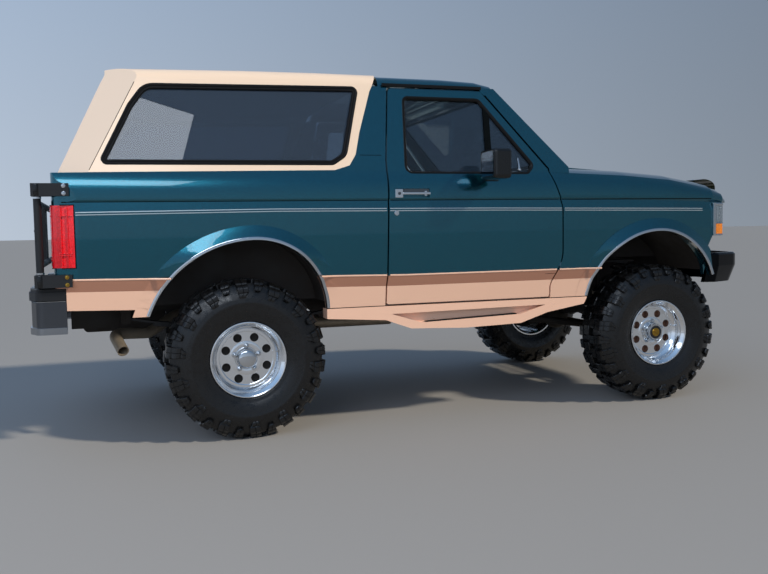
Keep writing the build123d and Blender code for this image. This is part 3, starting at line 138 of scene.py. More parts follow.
def bodyEnamel():
    # Metallic base coat under clear lacquer: fine flake sparkle, sharp reflections on top
    tree, shader = newMaterial("clearCoatedEnamel", enamel["green"], Roughness=0.2,
                               Coat_Weight=1.0, Coat_Roughness=0.03, Coat_IOR=1.45)
    coords = addNode(tree, "TexCoord").outputs["Object"]
    place = addNode(tree, "SeparateXYZ", {"Vector": coords}).outputs
    line = ranged(tree, place["X"], *(enamel[word] for word in ("lineRear", "lineFront", "rearX", "frontX")))
    height = worked(tree, "SUBTRACT", place["Z"], line)
    below = worked(tree, "MULTIPLY", worked(tree, "LESS_THAN", height, 0.0),
                   worked(tree, "LESS_THAN", place["X"], enamel["noseX"]))
    # The recessed facet faces down, and its darker tan is painted shade
    paintedShadeFacet = worked(tree, "GREATER_THAN", height, -enamel["creaseDrop"])
    tan = mixed(tree, paintedShadeFacet, enamel["tan"], enamel["tanPaintedShade"])
    flake = addNode(tree, "TexVoronoi", {"Vector": coords, "Scale": 1 / enamel["flake"]})
    sparkle = addNode(tree, "SeparateColor", {"Color": flake.outputs["Color"]})
    green = mixed(tree, sparkle.outputs["Red"], enamel["greenDeep"], enamel["green"])
    mixed(tree, below, green, tan, shader)
    # The green holds far more metal flake than the tan
    tree.links.new(ranged(tree, below, enamel["flakeGreen"], enamel["flakeTan"]), shader.inputs["Metallic"])


bumperCoat = {
    "treadZ": 0.8055, "ridgeZ": 0.6675, "steel": "#5E6166", "bright": "#9DA1A6", "rubber": "#141415",
    "smooth": 0.2, "dull": 0.55,
}


def bumperSteel():
    # One pressing in three finishes by height: bright ridge, satin body, black tread edge
    tree, shader = newMaterial("steppedBumperSteel", bumperCoat["steel"])
    coords = addNode(tree, "TexCoord")
    z = addNode(tree, "SeparateXYZ", {"Vector": coords.outputs["Object"]}).outputs["Z"]
    black = worked(tree, "GREATER_THAN", z, bumperCoat["treadZ"])
    ridge = worked(tree, "LESS_THAN", z, bumperCoat["ridgeZ"])
    metal = mixed(tree, ridge, bumperCoat["steel"], bumperCoat["bright"])
    mixed(tree, black, metal, bumperCoat["rubber"], shader)
    tree.links.new(ranged(tree, black, 1.0, 0.0), shader.inputs["Metallic"])
    tree.links.new(ranged(tree, black, bumperCoat["smooth"], bumperCoat["dull"]), shader.inputs["Roughness"])


cloth = {"thread": 0.0035, "warp": "#54606E", "weft": "#39434F", "rise": 0.4, "depth": 0.0006}


def seatCloth():
    # A plain weave, drawn about three times as coarse as the real threads so that it shows
    tree, shader = newMaterial("wovenCloth", cloth["warp"], Roughness=0.9, Sheen_Weight=0.3)
    warp, weft = [pattern(tree, "Wave", cloth["thread"], bands_direction=way) for way in ("Y", "DIAGONAL")]
    weave = worked(tree, "MULTIPLY", warp, weft)
    mixed(tree, weave, cloth["weft"], cloth["warp"], shader)
    bumpIn(tree, shader, weave, cloth["rise"], cloth["depth"])


bodyEnamel()
bumperSteel()
seatCloth()
# The lower band's own colour, on the step boards and mouldings: a light pearl under lacquer
finish("bandEnamel", enamel["tan"], (0.26, 0.4, 0.2), Metallic=0.2, Coat_Weight=1.0, Coat_Roughness=0.05)
# Gel-coated shell: a faint orange peel softens its reflections
finish("mouldedFibreglass", "#DEC7AF", (0.32, 0.44, 0.25), relief=(0.15, 0.0004, "Noise", 0.004),
       Coat_Weight=0.5, Coat_Roughness=0.15)
# Baked powder: a dull black with a fine pebbled skin
finish("blackPowderCoat", "#17181A", (0.38, 0.6, 0.08), relief=(0.2, 0.0004, "Noise", 0.002))
# Chassis steel: old black paint under dust, browner in patches
finish("roadBlackSteel", "#1C1B1A", (0.55, 0.85, 0.12), ("#121212", "#332C26"))
# Sand casting: grey-brown, rough as the sand that it was poured in
finish("castIron", "#2A2927", (0.5, 0.8, 0.1), ("#1B1B1A", "#3A3530"), (0.4, 0.0008, "Noise", 0.003),
       Metallic=0.6)
# Lathe-turned and buffed: bright, a little uneven where the buff has lingered
finish("polishedAluminium", "#EEF0F2", (0.08, 0.2, 0.06), Metallic=1.0)
# Plating over polished steel: nearly a mirror, with a few duller patches
finish("chromePlate", "#CDD0D3", (0.05, 0.16, 0.05), Metallic=1.0)
# Chrome plating on the front bumper, its colour darkened to near black as a painted reflection of dark
# surroundings: a black mirror with bright edges
finish("chromeWithPaintedDarkReflection", "#1D1F22", (0.08, 0.18, 0.12), Metallic=1.0)
# Yellow zinc or brass plating on small fasteners
finish("brassPlate", "#B08A3C", (0.22, 0.42, 0.01), Metallic=1.0)
# Reflective pinstripe tape
finish("silverTape", "#B9C2C6", (0.25, 0.4, 0.1), Metallic=0.7)
# Damp tyre rubber: near black, with wet streaks that shine between duller patches
finish("vulcanisedRubber", "#131314", (0.14, 0.5, 0.03), ("#050506", "#121212"),
       (0.35, 0.0008, "Noise", 0.004, {"Detail": 3.0}))
# Seals and gaskets: drawn through a die, so smooth and half shiny
finish("extrudedRubber", "#100F0F", (0.34, 0.55, 0.05), Specular_IOR_Level=0.2)
# Near black, taking almost no light: painted shade in the seams and the belt groove, and the own colour of
# the matt black vent post and lamp gasket
finish("seamShadeAndMattBlack", "#06090A", (0.7, 0.9, 0.02), Specular_IOR_Level=0.1)
# Body-tinted safety glass: deep slate blue, clear to see into when near
finish("tintedGlass", "#57677A", Roughness=0.0, Transmission_Weight=0.78, IOR=1.5)
# Lightly green float glass
finish("floatGlass", "#DCE6E6", Roughness=0.0, Transmission_Weight=1.0, IOR=1.5)
# Mirror glass, silvered on its back
finish("silveredGlass", "#6E7680", Metallic=1.0, Roughness=0.02)
# Vacuum-formed acrylic sheet: dark olive smoke, seen through at its edge
finish("smokedAcrylic", "#34381F", Roughness=0.04, Transmission_Weight=0.6, IOR=1.49)
# Clear pressed glass in front of the reflector
finish("lampGlass", "#F2F6F7", Roughness=0.02, Transmission_Weight=1.0, IOR=1.45)
# Injection-moulded black ABS from a polished mould
finish("glossyAbs", "#0A0B0C", (0.14, 0.3, 0.03))
# Exhaust tube: hot-dipped in aluminium, grey-beige with heat and road film
finish("aluminisedSteel", "#8F8474", (0.4, 0.65, 0.05), ("#6E6456", "#A89C8A"), Metallic=0.5)
# Brake disc face under a film of light rust, seen through the wheel's holes
finish("rustedDisc", "#7A5140", (0.5, 0.75, 0.01), ("#5E3A2A", "#9A6E58"), Metallic=0.3)
# Injection-moulded amber acrylic
finish("amberLens", "#F58A0A", Roughness=0.08, Transmission_Weight=0.2, IOR=1.49, Coat_Weight=1.0)
# Injection-moulded red acrylic, prisms behind a smooth face
tree, shader = newMaterial(
    "redLens", "#D2111C", Roughness=0.12, Coat_Weight=1.0, Coat_Roughness=0.02, Coat_IOR=1.4)
mixed(tree, pattern(tree, "Voronoi", 0.011), "#F0101F", "#C80A18", shader)
# Aluminised bowl behind the lens, pressed in upright ribs, drawn as bands of colour: the ribs' bright and
# dark sides are painted highlight and shade
tree, shader = newMaterial("lampReflector", "#C9CCCD", Metallic=1.0, Roughness=0.18)
mixed(tree, pattern(tree, "Wave", 0.012, bands_direction="X"), "#9EA4A6", "#F2F4F5", shader)
# Seat belt: flat woven nylon with a low shine
tree, shader = newMaterial("nylonWebbing", "#22262B", Roughness=0.55, Sheen_Weight=0.2)
bumpIn(tree, shader, pattern(tree, "Wave", 0.002, bands_direction="Z"), 0.3, 0.0004)
# Dashboard, trim and floor covering: a soft leather grain from the mould
finish("mouldedVinyl", "#2F363D", (0.5, 0.7, 0.05), relief=(0.25, 0.0004, "Voronoi", 0.0022))

nodeFinish = {
    "clearCoatedEnamel": ["quarter_panels", "cab_roof", "front_fenders", "hood", "tailgate", "door_left",
                          "door_right", "cowl_firewall", "door_hinges"],
    "bandEnamel": ["running_boards"],
    "mouldedFibreglass": ["rear_top"],
    "blackPowderCoat": ["carrier_brackets", "tyre_carrier", "grille", "coil_springs", "leaf_springs"],
    "roadBlackSteel": ["frame_rails", "frame_crossmembers", "inner_fenders", "radiator_support", "fuel_tank",
                       "propeller_shafts", "shock_absorbers", "tie_rod", "rear_wheelhouses"],
    "castIron": ["power_unit", "front_axle", "rear_axle", "knuckle_left", "knuckle_right"],
    "steppedBumperSteel": ["rear_bumper"],
    "chromeWithPaintedDarkReflection": ["front_bumper"],
    "glossyAbs": ["mirror_left", "mirror_right"],
    "aluminisedSteel": ["exhaust"],
    "smokedAcrylic": ["hood_deflector"],
    "tintedGlass": ["fixed_glass"],
    "floatGlass": ["door_glass_left", "door_glass_right"],
    "redLens": ["tail_lamps"],
    "lampReflector": ["headlamps"],
    "wovenCloth": ["front_seats", "rear_seat"],
    "mouldedVinyl": ["floor_pan", "dashboard", "steering_wheel"],
    "vulcanisedRubber": ["tyre_rear_left", "tyre_rear_right", "tyre_front_left", "tyre_front_right"],
    "polishedAluminium": ["rim_rear_left", "rim_rear_right", "rim_front_left", "rim_front_right"],
}
for finishName, names in nodeFinish.items():
    for name in names:
        nodes[name].data.materials.clear()
        nodes[name].data.materials.append(finishes[finishName])
missing = set(nodes) - {name for names in nodeFinish.values() for name in names}
print("stage: materials set, nodes without one:", sorted(missing))

# Making meshes: every piece is built in a bmesh, in metres, in the vehicle's own frame

def addPiece(name, bm, finish, body="chassis", slot=None, sharp=35, rounding=0.0, place=(0, 0, 0)):
    bmesh.ops.recalc_face_normals(bm, faces=bm.faces)
    mesh = bpy.data.meshes.new(name)
    bm.to_mesh(mesh)
    bm.free()
    mesh.materials.append(finishes[finish])
    mesh.shade_smooth()
    mesh.set_sharp_from_angle(angle=math.radians(sharp))
    piece = bpy.data.objects.new(name, mesh)
    bpy.context.scene.collection.objects.link(piece)
    piece.location = place
    if rounding:
        bevel = piece.modifiers.new("rounding", "BEVEL")
        bevel.width = rounding
        bevel.segments = 2
        bevel.limit_method = "ANGLE"
        bevel.angle_limit = math.radians(sharp)
        bevel.harden_normals = True
    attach(piece, body)
    return piece


def onePiece(name, make, finish, body="chassis", **rest):
    bm = bmesh.new()
    make(bm)
    return addPiece(name, bm, finish, body, **rest)


def mirrored(bm):
    for vert in bm.verts:
        vert.co.y *= -1


def pairOf(name, make, finish, left="chassis", right="chassis", **rest):
    # Made once for the left side and mirrored for the right
    for word, body in (("left", left), ("right", right)):
        bm = bmesh.new()
        make(bm)
        if word == "right":
            mirrored(bm)
        addPiece(f"{name}_{word}", bm, finish, body, **rest)


def doorPair(name, make, finish, **rest):
    pairOf(name, make, finish, "door_left", "door_right", **rest)


def bothSides(name, make, finish, **rest):
    # One piece that holds the left and the right copy
    bm, other = bmesh.new(), bmesh.new()
    make(bm)
    make(other)
    mirrored(other)
    spare = bpy.data.meshes.new("spare")
    other.to_mesh(spare)
    other.free()
    bm.from_mesh(spare)
    bpy.data.meshes.remove(spare)
    addPiece(name, bm, finish, **rest)


def joinRings(bm, rings, closed=False):
    # Quads between rings of points, with caps on open ends; a ring of one point closes to a tip
    pairs = list(zip(rings, rings[1:]))
    if closed:
        pairs.append((rings[-1], rings[0]))
    for first, second in pairs:
        count = max(len(first), len(second))
        for i in range(count):
            j = (i + 1) % count
            corners = [first[i % len(first)], first[j % len(first)],
                       second[j % len(second)], second[i % len(second)]]
            corners = list(dict.fromkeys(corners))
            if len(corners) > 2:
                bm.faces.new(corners)
    if not closed:
        for ring in (rings[0], rings[-1]):
            if len(ring) > 2:
                bm.faces.new(ring)


def turned(bm, profile, centre, axis, steps=48, closed=False):
    # A lathe shape: profile points are (radius, distance along the axis)
    centre, axis = Vector(centre), Vector(axis).normalized()
    side = axis.orthogonal().normalized()
    up = axis.cross(side)
    rings = []
    for radius, along in profile:
        middle = centre + axis * along
        if radius == 0:
            rings.append([bm.verts.new(middle)])
            continue
        rings.append([
            bm.verts.new(middle + (side * math.cos(turn) + up * math.sin(turn)) * radius)
            for turn in (math.tau * i / steps for i in range(steps))
        ])
    joinRings(bm, rings, closed=closed)


def turnedAt(profile, spots, axis, steps):
    # The same lathe shape at several places
    def make(bm):
        for spot in spots:
            turned(bm, profile, spot, axis, steps)
    return make


def swept(bm, path, section, outward, loop=False):
    # A section of (across, out) points carried along a path; outward is one vector or one for each point
    path = [Vector(point) for point in path]
    count = len(path)
    rings = []
    for i, point in enumerate(path):
        steps = []
        if i or loop:
            steps.append((point - path[i - 1]).normalized())
        if i < count - 1 or loop:
            steps.append((path[(i + 1) % count] - point).normalized())
        tangent = sum(steps, Vector()).normalized()
        out = Vector(outward[i] if isinstance(outward, list) else outward)
        out = (out - tangent * out.dot(tangent)).normalized()
        across = tangent.cross(out)
        stretch = 1 / max(steps[0].dot(tangent), 0.5)
        rings.append([bm.verts.new(point + across * a * stretch + out * b) for a, b in section])
    joinRings(bm, rings, closed=loop)


def boxSection(half, low, high):
    return [(-half, low), (half, low), (half, high), (-half, high)]


def plate(bm, points, push):
    # A flat outline pushed out to a thickness
    push = Vector(push)
    low = [bm.verts.new(Vector(point)) for point in points]
    high = [bm.verts.new(Vector(point) + push) for point in points]
    joinRings(bm, [low, high])


def brick(bm, low, high):
    (x0, y0, z0), (x1, y1, z1) = low, high
    plate(bm, [(x0, y0, z0), (x1, y0, z0), (x1, y1, z0), (x0, y1, z0)], (0, 0, z1 - z0))


def rounded(points, radii, steps=5):
    # A closed outline with arcs for corners
    points = [Vector(point) for point in points]
    out = []
    for i, (here, radius) in enumerate(zip(points, radii)):
        back = (points[i - 1] - here).normalized()
        ahead = (points[(i + 1) % len(points)] - here).normalized()
        half = math.acos(max(-1.0, min(1.0, back.dot(ahead)))) / 2
        if radius <= 0 or half > 1.55:
            out.append(here)
            continue
        reach = radius / math.tan(half)
        middle = here + (back + ahead).normalized() * radius / math.sin(half)
        start, end = here + back * reach - middle, here + ahead * reach - middle
        for k in range(steps + 1):
            mix = (start * (1 - k / steps) + end * (k / steps)).normalized()
            out.append(middle + mix * radius)
    return out


def spaced(points, gap, loop=False):
    # More points on the long runs of a path, so that it can follow a curved surface
    out = []
    points = [Vector(point) for point in points]
    for first, second in zip(points, points[1:] + ([points[0]] if loop else [])):
        parts = max(1, round((second - first).length / gap))
        out += [first.lerp(second, k / parts) for k in range(parts)]
    return out if loop else out + [points[-1]]


def flatRing(bm, outline, out, section):
    # A seal round a flat outline of 3-D points
    middle = sum(outline, Vector()) / len(outline)
    ahead = outline[1] - outline[0]
    if ahead.cross(Vector(out)).dot(outline[0] - middle) < 0:
        outline = outline[::-1]
    swept(bm, outline, section, out, loop=True)


def sideways(plan):
    # Directions away from a plan path, to its right
    outs = []
    for i in range(len(plan)):
        ahead = (plan[min(i + 1, len(plan) - 1)] - plan[max(i - 1, 0)]).normalized()
        outs.append(Vector((ahead.y, -ahead.x, 0)))
    return outs


def lineOver(x, rows):
    # Height of a line at x, from (x, height) rows
    for (xa, za), (xb, zb) in zip(rows, rows[1:]):
        if x <= xb:
            return za + (zb - za) * (max(x, xa) - xa) / (xb - xa)
    return rows[-1][1]


skinTrees = {}


def skinAt(name, x, z):
    # Where a node's outer face is, looked at from the left: the place and the direction out of it
    if name not in skinTrees:
        mesh = nodes[name].data
        skinTrees[name] = BVHTree.FromPolygons(
            [v.co[:] for v in mesh.vertices], [p.vertices[:] for p in mesh.polygons])
    place, normal, index, distance = skinTrees[name].ray_cast(Vector((x, 2.0, z)), Vector((0, -1, 0)))
    return (place, normal) if place is not None and abs(place.y) > 0.5 else (None, None)


def runsOn(name, heightAt, x0, x1, step=0.01, steep=0.6):
    # Stretches of a long line that lie on one node's left skin
    runs = [[]]
    for i in range(int((x1 - x0) / step) + 1):
        x = x0 + i * step
        place, normal = skinAt(name, x, heightAt(x))
        if place is not None and abs(normal.y) > steep:
            runs[-1].append((place, normal))
        elif runs[-1]:
            runs.append([])
    return [run for run in runs if len(run) > 3]


sidePanels = {"quarter_panels": (), "front_fenders": (), "door_left": ("door_left", "door_right")}


def trimAlong(name, rows, section, finish, x0, x1):
    # A strip along the body side, cut at each panel and riding with it
    for panel, sides in sidePanels.items():
        runs = runsOn(panel, lambda x: lineOver(x, rows), x0, x1)

        def make(bm):
            for run in runs:
                swept(bm, [place for place, normal in run], section, [normal for place, normal in run])

        if runs:
            pairOf(f"{name}_{panel.split('_')[0]}", make, finish, *sides)


# Tyres: each one stands for its CAD node, with the same lugs at the same places

tyre = {
    # Carcass of one half, from the bead to the middle: radius, distance from the mid plane
    "carcass": [
        (191.8, 118.4), (200, 121.2), (209, 124.5), (214, 130), (222, 133.2), (231, 134.4), (238, 138),
        (252, 144.2), (270, 149.6), (290, 154.0), (306, 156.4), (309, 157.4), (321, 157.4), (325, 155.8),
        (334, 155.4), (346, 151.2), (360, 145.4), (378, 136.8), (396, 126.6), (409, 117.6), (418, 109),
        (418, 7), (404, 4), (404, 0),
    ],
    # Lug rows from the middle outwards: outer y and r, inner y and r, half width, shift, sipe depth
    "long": [
        (5, 435, 5, 402, 30, -4, 0), (8, 438.4, 8, 402, 32, -4, 5), (54, 438.4, 54, 402, 32, -4, 5),
        (56, 424, 56, 402, 29, 0, 0), (63, 424, 63, 402, 29, 0, 0), (65, 438.4, 65, 402, 32, 4, 5),
        (106, 438.2, 102, 402, 33, 4, 5), (114, 435, 105, 402, 33, 3, 4), (131, 422, 111, 398, 32, 2, 4),
        (133, 414, 113, 396, 30, 0, 0), (149, 403, 124, 386, 31, 0, 4), (155.5, 395, 130, 380, 31, -2, 4),
        (157.4, 387, 133, 376, 30, -3, 4), (157.4, 372, 137, 364, 28, -4, 4),
        (152.5, 367, 139, 360, 25, -3, 0), (156.4, 358, 141, 352, 22, 3, 4),
        (157.0, 344, 143, 340, 19, 4, 3), (152, 337, 144, 336, 15, 4, 0),
    ],
    "short": [
        (5, 435, 5, 402, 26, 3, 0), (8, 438.6, 8, 402, 28, 3, 5), (58, 438.6, 58, 402, 28, 3, 5),
        (60, 426, 60, 402, 24, 0, 0), (66, 426, 66, 402, 24, 0, 0), (68, 438.6, 68, 402, 28, -3, 5),
        (106, 438.2, 100, 402, 28, -3, 5), (114, 433, 103, 402, 27, -3, 4), (129, 422, 108, 400, 26, -2, 3),
        (131, 415, 111, 398, 22, 0, 0), (146, 405, 119, 391, 22, 1, 3), (151.5, 397, 123, 387, 19, 2, 3),
        (153.5, 384, 128, 380, 17, 3, 0), (148, 378, 130, 376, 13, 3, 0),
    ],
    "chamfer": 3.0,
    "sipeHalf": 1.6,
    "count": 14,
    # Angle of the first lug, and how far the inner side's lugs are turned on, in degrees
    "phase": -90 + 3.8,
    "innerTurn": 6.43,
    "roundSteps": 112,
}


def addLug(bm, turn, rows, half):
    radial = Vector((math.cos(turn), 0, math.sin(turn)))
    along = Vector((-math.sin(turn), 0, math.cos(turn)))
    edge, slit = tyre["chamfer"], tyre["sipeHalf"]
    rings = []
    for outY, outR, inY, inR, wide, shift, sipe in rows:
        top = radial * outR + Vector((0, half * outY, 0)) + along * shift
        base = radial * inR + Vector((0, half * inY, 0)) + along * shift
        down = (base - top).normalized()
        points = [
            base - along * wide, top + down * edge - along * wide, top - along * (wide - edge),
            top - along * slit, top + down * sipe, top + along * slit,
            top + along * (wide - edge), top + down * edge + along * wide, base + along * wide,
        ]
        rings.append([bm.verts.new(point / 1000) for point in points])
    joinRings(bm, rings)


def tyreMesh(bm, outer):
    # outer is the side that faces away from the vehicle, 1 or -1 along Y
    half = [(r / 1000, y / 1000) for r, y in tyre["carcass"]]
    carcass = half + [(r, -y) for r, y in half[-2::-1]]
    turned(bm, carcass, (0, 0, 0), (0, 1, 0), tyre["roundSteps"], closed=True)
    for side in (1, -1):
        first = tyre["phase"] + (0 if side == outer else tyre["innerTurn"])
        for i in range(tyre["count"]):
            turn = math.radians(first + 360 / tyre["count"] * i)
            addLug(bm, turn, tyre["long"], side)
            addLug(bm, turn + math.pi / tyre["count"], tyre["short"], side)


wheels = {
    "rear_left": (-1.168, 0.845, 0.44), "rear_right": (-1.168, -0.845, 0.44),
    "front_left": (1.491, 0.845, 0.44), "front_right": (1.491, -0.845, 0.44),
}
for word, place in wheels.items():
    out = 1 if place[1] > 0 else -1
    piece = onePiece(f"mud_tyre_{word}", lambda bm: tyreMesh(bm, out), "vulcanisedRubber", f"wheel_{word}",
                     sharp=38, place=place)
    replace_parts(piece, f"tyre_{word}")
print("stage: tyres")


# Wheel trim: nuts, caps, and the turned steps of the rim

wheelTrim = {
    # Outer face of the disc and of the rim's lip, from the wheel's middle
    "face": 0.053, "lip": 0.133,
    "nutCircle": 0.06985, "nutAcross": 0.0125, "nutTall": 0.024, "nutSeat": 0.0044,
    "valve": [(0, 0), (0.005, 0), (0.005, 0.03), (0.0035, 0.032), (0, 0.032)],
    # Its x, how far it stands off the face, and its z
    "valveAt": (0.168, -0.002, 0.03),
    # Lathe profiles, standing on the face of the disc
    "hubCap": [(0, 0), (0.057, 0), (0.057, 0.004), (0.0545, 0.007), (0.0535, 0.034), (0.051, 0.042),
               (0.044, 0.0475), (0.03, 0.0505), (0.014, 0.052), (0, 0.0523)],
    "lockingHub": [(0, 0), (0.06, 0), (0.06, 0.006), (0.055, 0.009), (0.0535, 0.044), (0.0505, 0.048),
                   (0.043, 0.048), (0.042, 0.044), (0, 0.044)],
    "dial": [(0, 0.04), (0.0415, 0.04), (0.0415, 0.0475), (0.038, 0.05), (0.03, 0.05), (0.029, 0.0475),
             (0, 0.0475)],
    "centre": [(0, 0.046), (0.0275, 0.046), (0.0275, 0.051), (0.025, 0.053), (0, 0.0535)],
    "rib": [(0, 0), (0.0022, 0), (0.0022, 0.03), (0.001, 0.032), (0, 0.032)],
    "ribs": 18, "ribCircle": 0.0545, "ribSeat": 0.01,
    # Grip of the dial: its turn, half length, half width, seat and height
    "grip": (35, 0.02, 0.004, 0.053, 0.005),
    "brakeFace": [(0.082, 0.0152), (0.149, 0.0152), (0.149, 0.0178), (0.146, 0.0186), (0.084, 0.0186),
                  (0.082, 0.0178)],
    # Rolled outer lip, two shallow steps down the barrel
    "lipRing": [(0.2, -0.006), (0.2085, -0.006), (0.21, -0.002), (0.2085, 0.0015), (0.204, 0.0025),
                (0.2, 0.0005), (0.1985, -0.003)],
    "steps": ([(0.194, 0.116), (0.1825, 0.1155), (0.181, 0.112), (0.1825, 0.1085), (0.194, 0.108)],
              [(0.19, 0.094), (0.1785, 0.0935), (0.177, 0.0905), (0.1785, 0.0875), (0.19, 0.087)]),
    # Two raised rings on the disc
    "faceRings": ([(0.152, -0.001), (0.152, 0.0025), (0.149, 0.004), (0.146, 0.0025), (0.146, -0.001)],
                  [(0.094, -0.001), (0.094, 0.003), (0.09, 0.0045), (0.064, 0.0045), (0.06, 0.003),
                   (0.06, -0.001)]),
}


def stoodOn(profile, seat):
    return [(radius, seat + along) for radius, along in profile]


def acornNut(bm, centre, axis):
    # A hex foot under a domed cap
    across, tall = wheelTrim["nutAcross"], wheelTrim["nutTall"]
    turned(bm, [(across * 1.25, 0), (across * 1.25, 0.002), (across * 1.05, 0.003)], centre, axis, 24)
    turned(bm, [(across, 0.001), (across, tall * 0.5), (across * 0.94, tall * 0.56)], centre, axis, 6)
    turned(bm, [(across * wide, tall * high) for wide, high in (
        (0.82, 0.5), (0.8, 0.7), (0.6, 0.9), (0.3, 0.98), (0, 1))], centre, axis, 20)


def rimSteps(bm, out):
    face = wheelTrim["face"]
    rings = [stoodOn(wheelTrim["lipRing"], wheelTrim["lip"]), *wheelTrim["steps"]]
    for profile in rings + [stoodOn(ring, face) for ring in wheelTrim["faceRings"]]:
        turned(bm, [(r, y * out) for r, y in profile], (0, 0, 0), (0, 1, 0), 96, closed=True)


def lugNuts(bm, out):
    circle, seat = wheelTrim["nutCircle"], wheelTrim["face"] + wheelTrim["nutSeat"]
    for i in range(5):
        turn = math.radians(90 + 72 * i)
        acornNut(bm, (circle * math.cos(turn), out * seat, circle * math.sin(turn)), (0, out, 0))
    x, off, z = wheelTrim["valveAt"]
    turned(bm, wheelTrim["valve"], (x, out * (wheelTrim["face"] + off), z), (0, out, 0), 12)


def onDisc(bm, part, out, steps=48):
    turned(bm, stoodOn(wheelTrim[part], wheelTrim["face"]), (0, 0, 0), (0, out, 0), steps)


def lockingHub(bm, out):
    # Ribbed chrome body, round a dark dial with a brass-coloured centre
    onDisc(bm, "lockingHub", out)
    for i in range(wheelTrim["ribs"]):
        turn = math.tau * i / wheelTrim["ribs"]
        spoke = Vector((math.cos(turn), 0, math.sin(turn))) * wheelTrim["ribCircle"]
        turned(bm, wheelTrim["rib"], spoke + Vector((0, out * (wheelTrim["face"] + wheelTrim["ribSeat"]), 0)),
               (0, out, 0), 8)


def hubCentre(bm, out):
    onDisc(bm, "centre", out, 32)
    turn, half, wide, seat, tall = wheelTrim["grip"]
    grip = Matrix.Rotation(math.radians(turn), 3, "Y") @ Vector((half, 0, 0))
    across = grip.cross(Vector((0, 1, 0))).normalized() * wide
    start = Vector((0, out * (wheelTrim["face"] + seat), 0))
    plate(bm, [start + grip + across, start - grip + across, start - grip - across, start + grip - across],
          (0, out * tall, 0))


for word, place in wheels.items():
    out = 1 if place[1] > 0 else -1
    wheelParts = [
        ("rim_steps", lambda bm: rimSteps(bm, out), "polishedAluminium"),
        ("lug_nuts", lambda bm: lugNuts(bm, out), "chromePlate"),
    ] + ([
        ("hub_cap", lambda bm: onDisc(bm, "hubCap", out), "chromePlate"),
    ] if word.startswith("rear") else [
        ("locking_hub", lambda bm: lockingHub(bm, out), "chromePlate"),
        ("hub_dial", lambda bm: onDisc(bm, "dial", out, 40), "blackPowderCoat"),
        ("hub_centre", lambda bm: hubCentre(bm, out), "brassPlate"),
    ])
    for name, make, look in wheelParts:
        onePiece(f"{name}_{word}", make, look, f"wheel_{word}", place=place)
for word, place in wheels.items():
    end, side = word.split("_")
    axis = (0, 1 if side == "left" else -1, 0)
    onePiece(
        f"brake_face_{word}", lambda bm: turned(bm, wheelTrim["brakeFace"], place, axis, 64, closed=True),
        "rustedDisc", f"knuckle_{side}" if end == "front" else "chassis",
    )
print("stage: wheel trim")


# Lower body side and wheel arches; the lips' centre lines are those of the CAD arches, in millimetres

arches = {
    "rear": {"apex": (-1120, 1098), "radii": (600, 405), "low": (703, 703)},
    "front": {"apex": (1466, 1102), "radii": (526, 420), "low": (703, 0), "frontX": 1867},
    "face": 1029,
    # Across the lip towards the middle of the arch, and out from the flare
    "section": [(1.5, -24), (5, -24), (5.5, 1), (3, 4.2), (-9, 4.2), (-13, 2), (-13.5, -1.5), (1.5, -1.5)],
    "steps": 40,
}
lowerSide = {
    # Height and half width of the side, with the band's two creases in the third and fourth rows
    "rows": [(0.69, 0.973), (0.702, 0.973), (0.812, 0.979), (0.872, 1.001), (1.11, 1.003), (1.25, 1.003)],
    # The creases climb by this much, from the first x over this run towards the tail
    "climb": 0.036, "climbFrom": -0.25, "climbRun": 1.89,
    # The flares die away between these heights, but not ahead of the front wheel
    "fade": (0.9, 1.04), "keepFrom": 1.466,
    # Half width of the flares' inner walls, and the share by which they move in
    "inner": 0.977, "innerIn": 0.016,
    "cuts": (0.76, 0.812, 0.821, 0.842, 0.872, 0.881, 0.902, 0.925, 0.95, 0.98, 1.01, 1.04),
    # Cuts are dissolved outside this half width, where the faces turn by less than this many degrees
    "outside": 0.95, "flat": 1.6,
}


def bodySkin(x, z):
    # Half width of the lower body side at a place
    lift = lowerSide["climb"] * min(1, max(0, (lowerSide["climbFrom"] - x) / lowerSide["climbRun"]))
    rows = lowerSide["rows"]
    return lineOver(z, rows[:2] + [(height + lift, half) for height, half in rows[2:4]] + rows[4:])


def flareShare(x, z):
    # How much of the flare is left at a place
    if x > lowerSide["keepFrom"]:
        return 1.0
    low, high = lowerSide["fade"]
    share = min(1, max(0, (z - low) / (high - low)))
    return share * share * (3 - 2 * share)


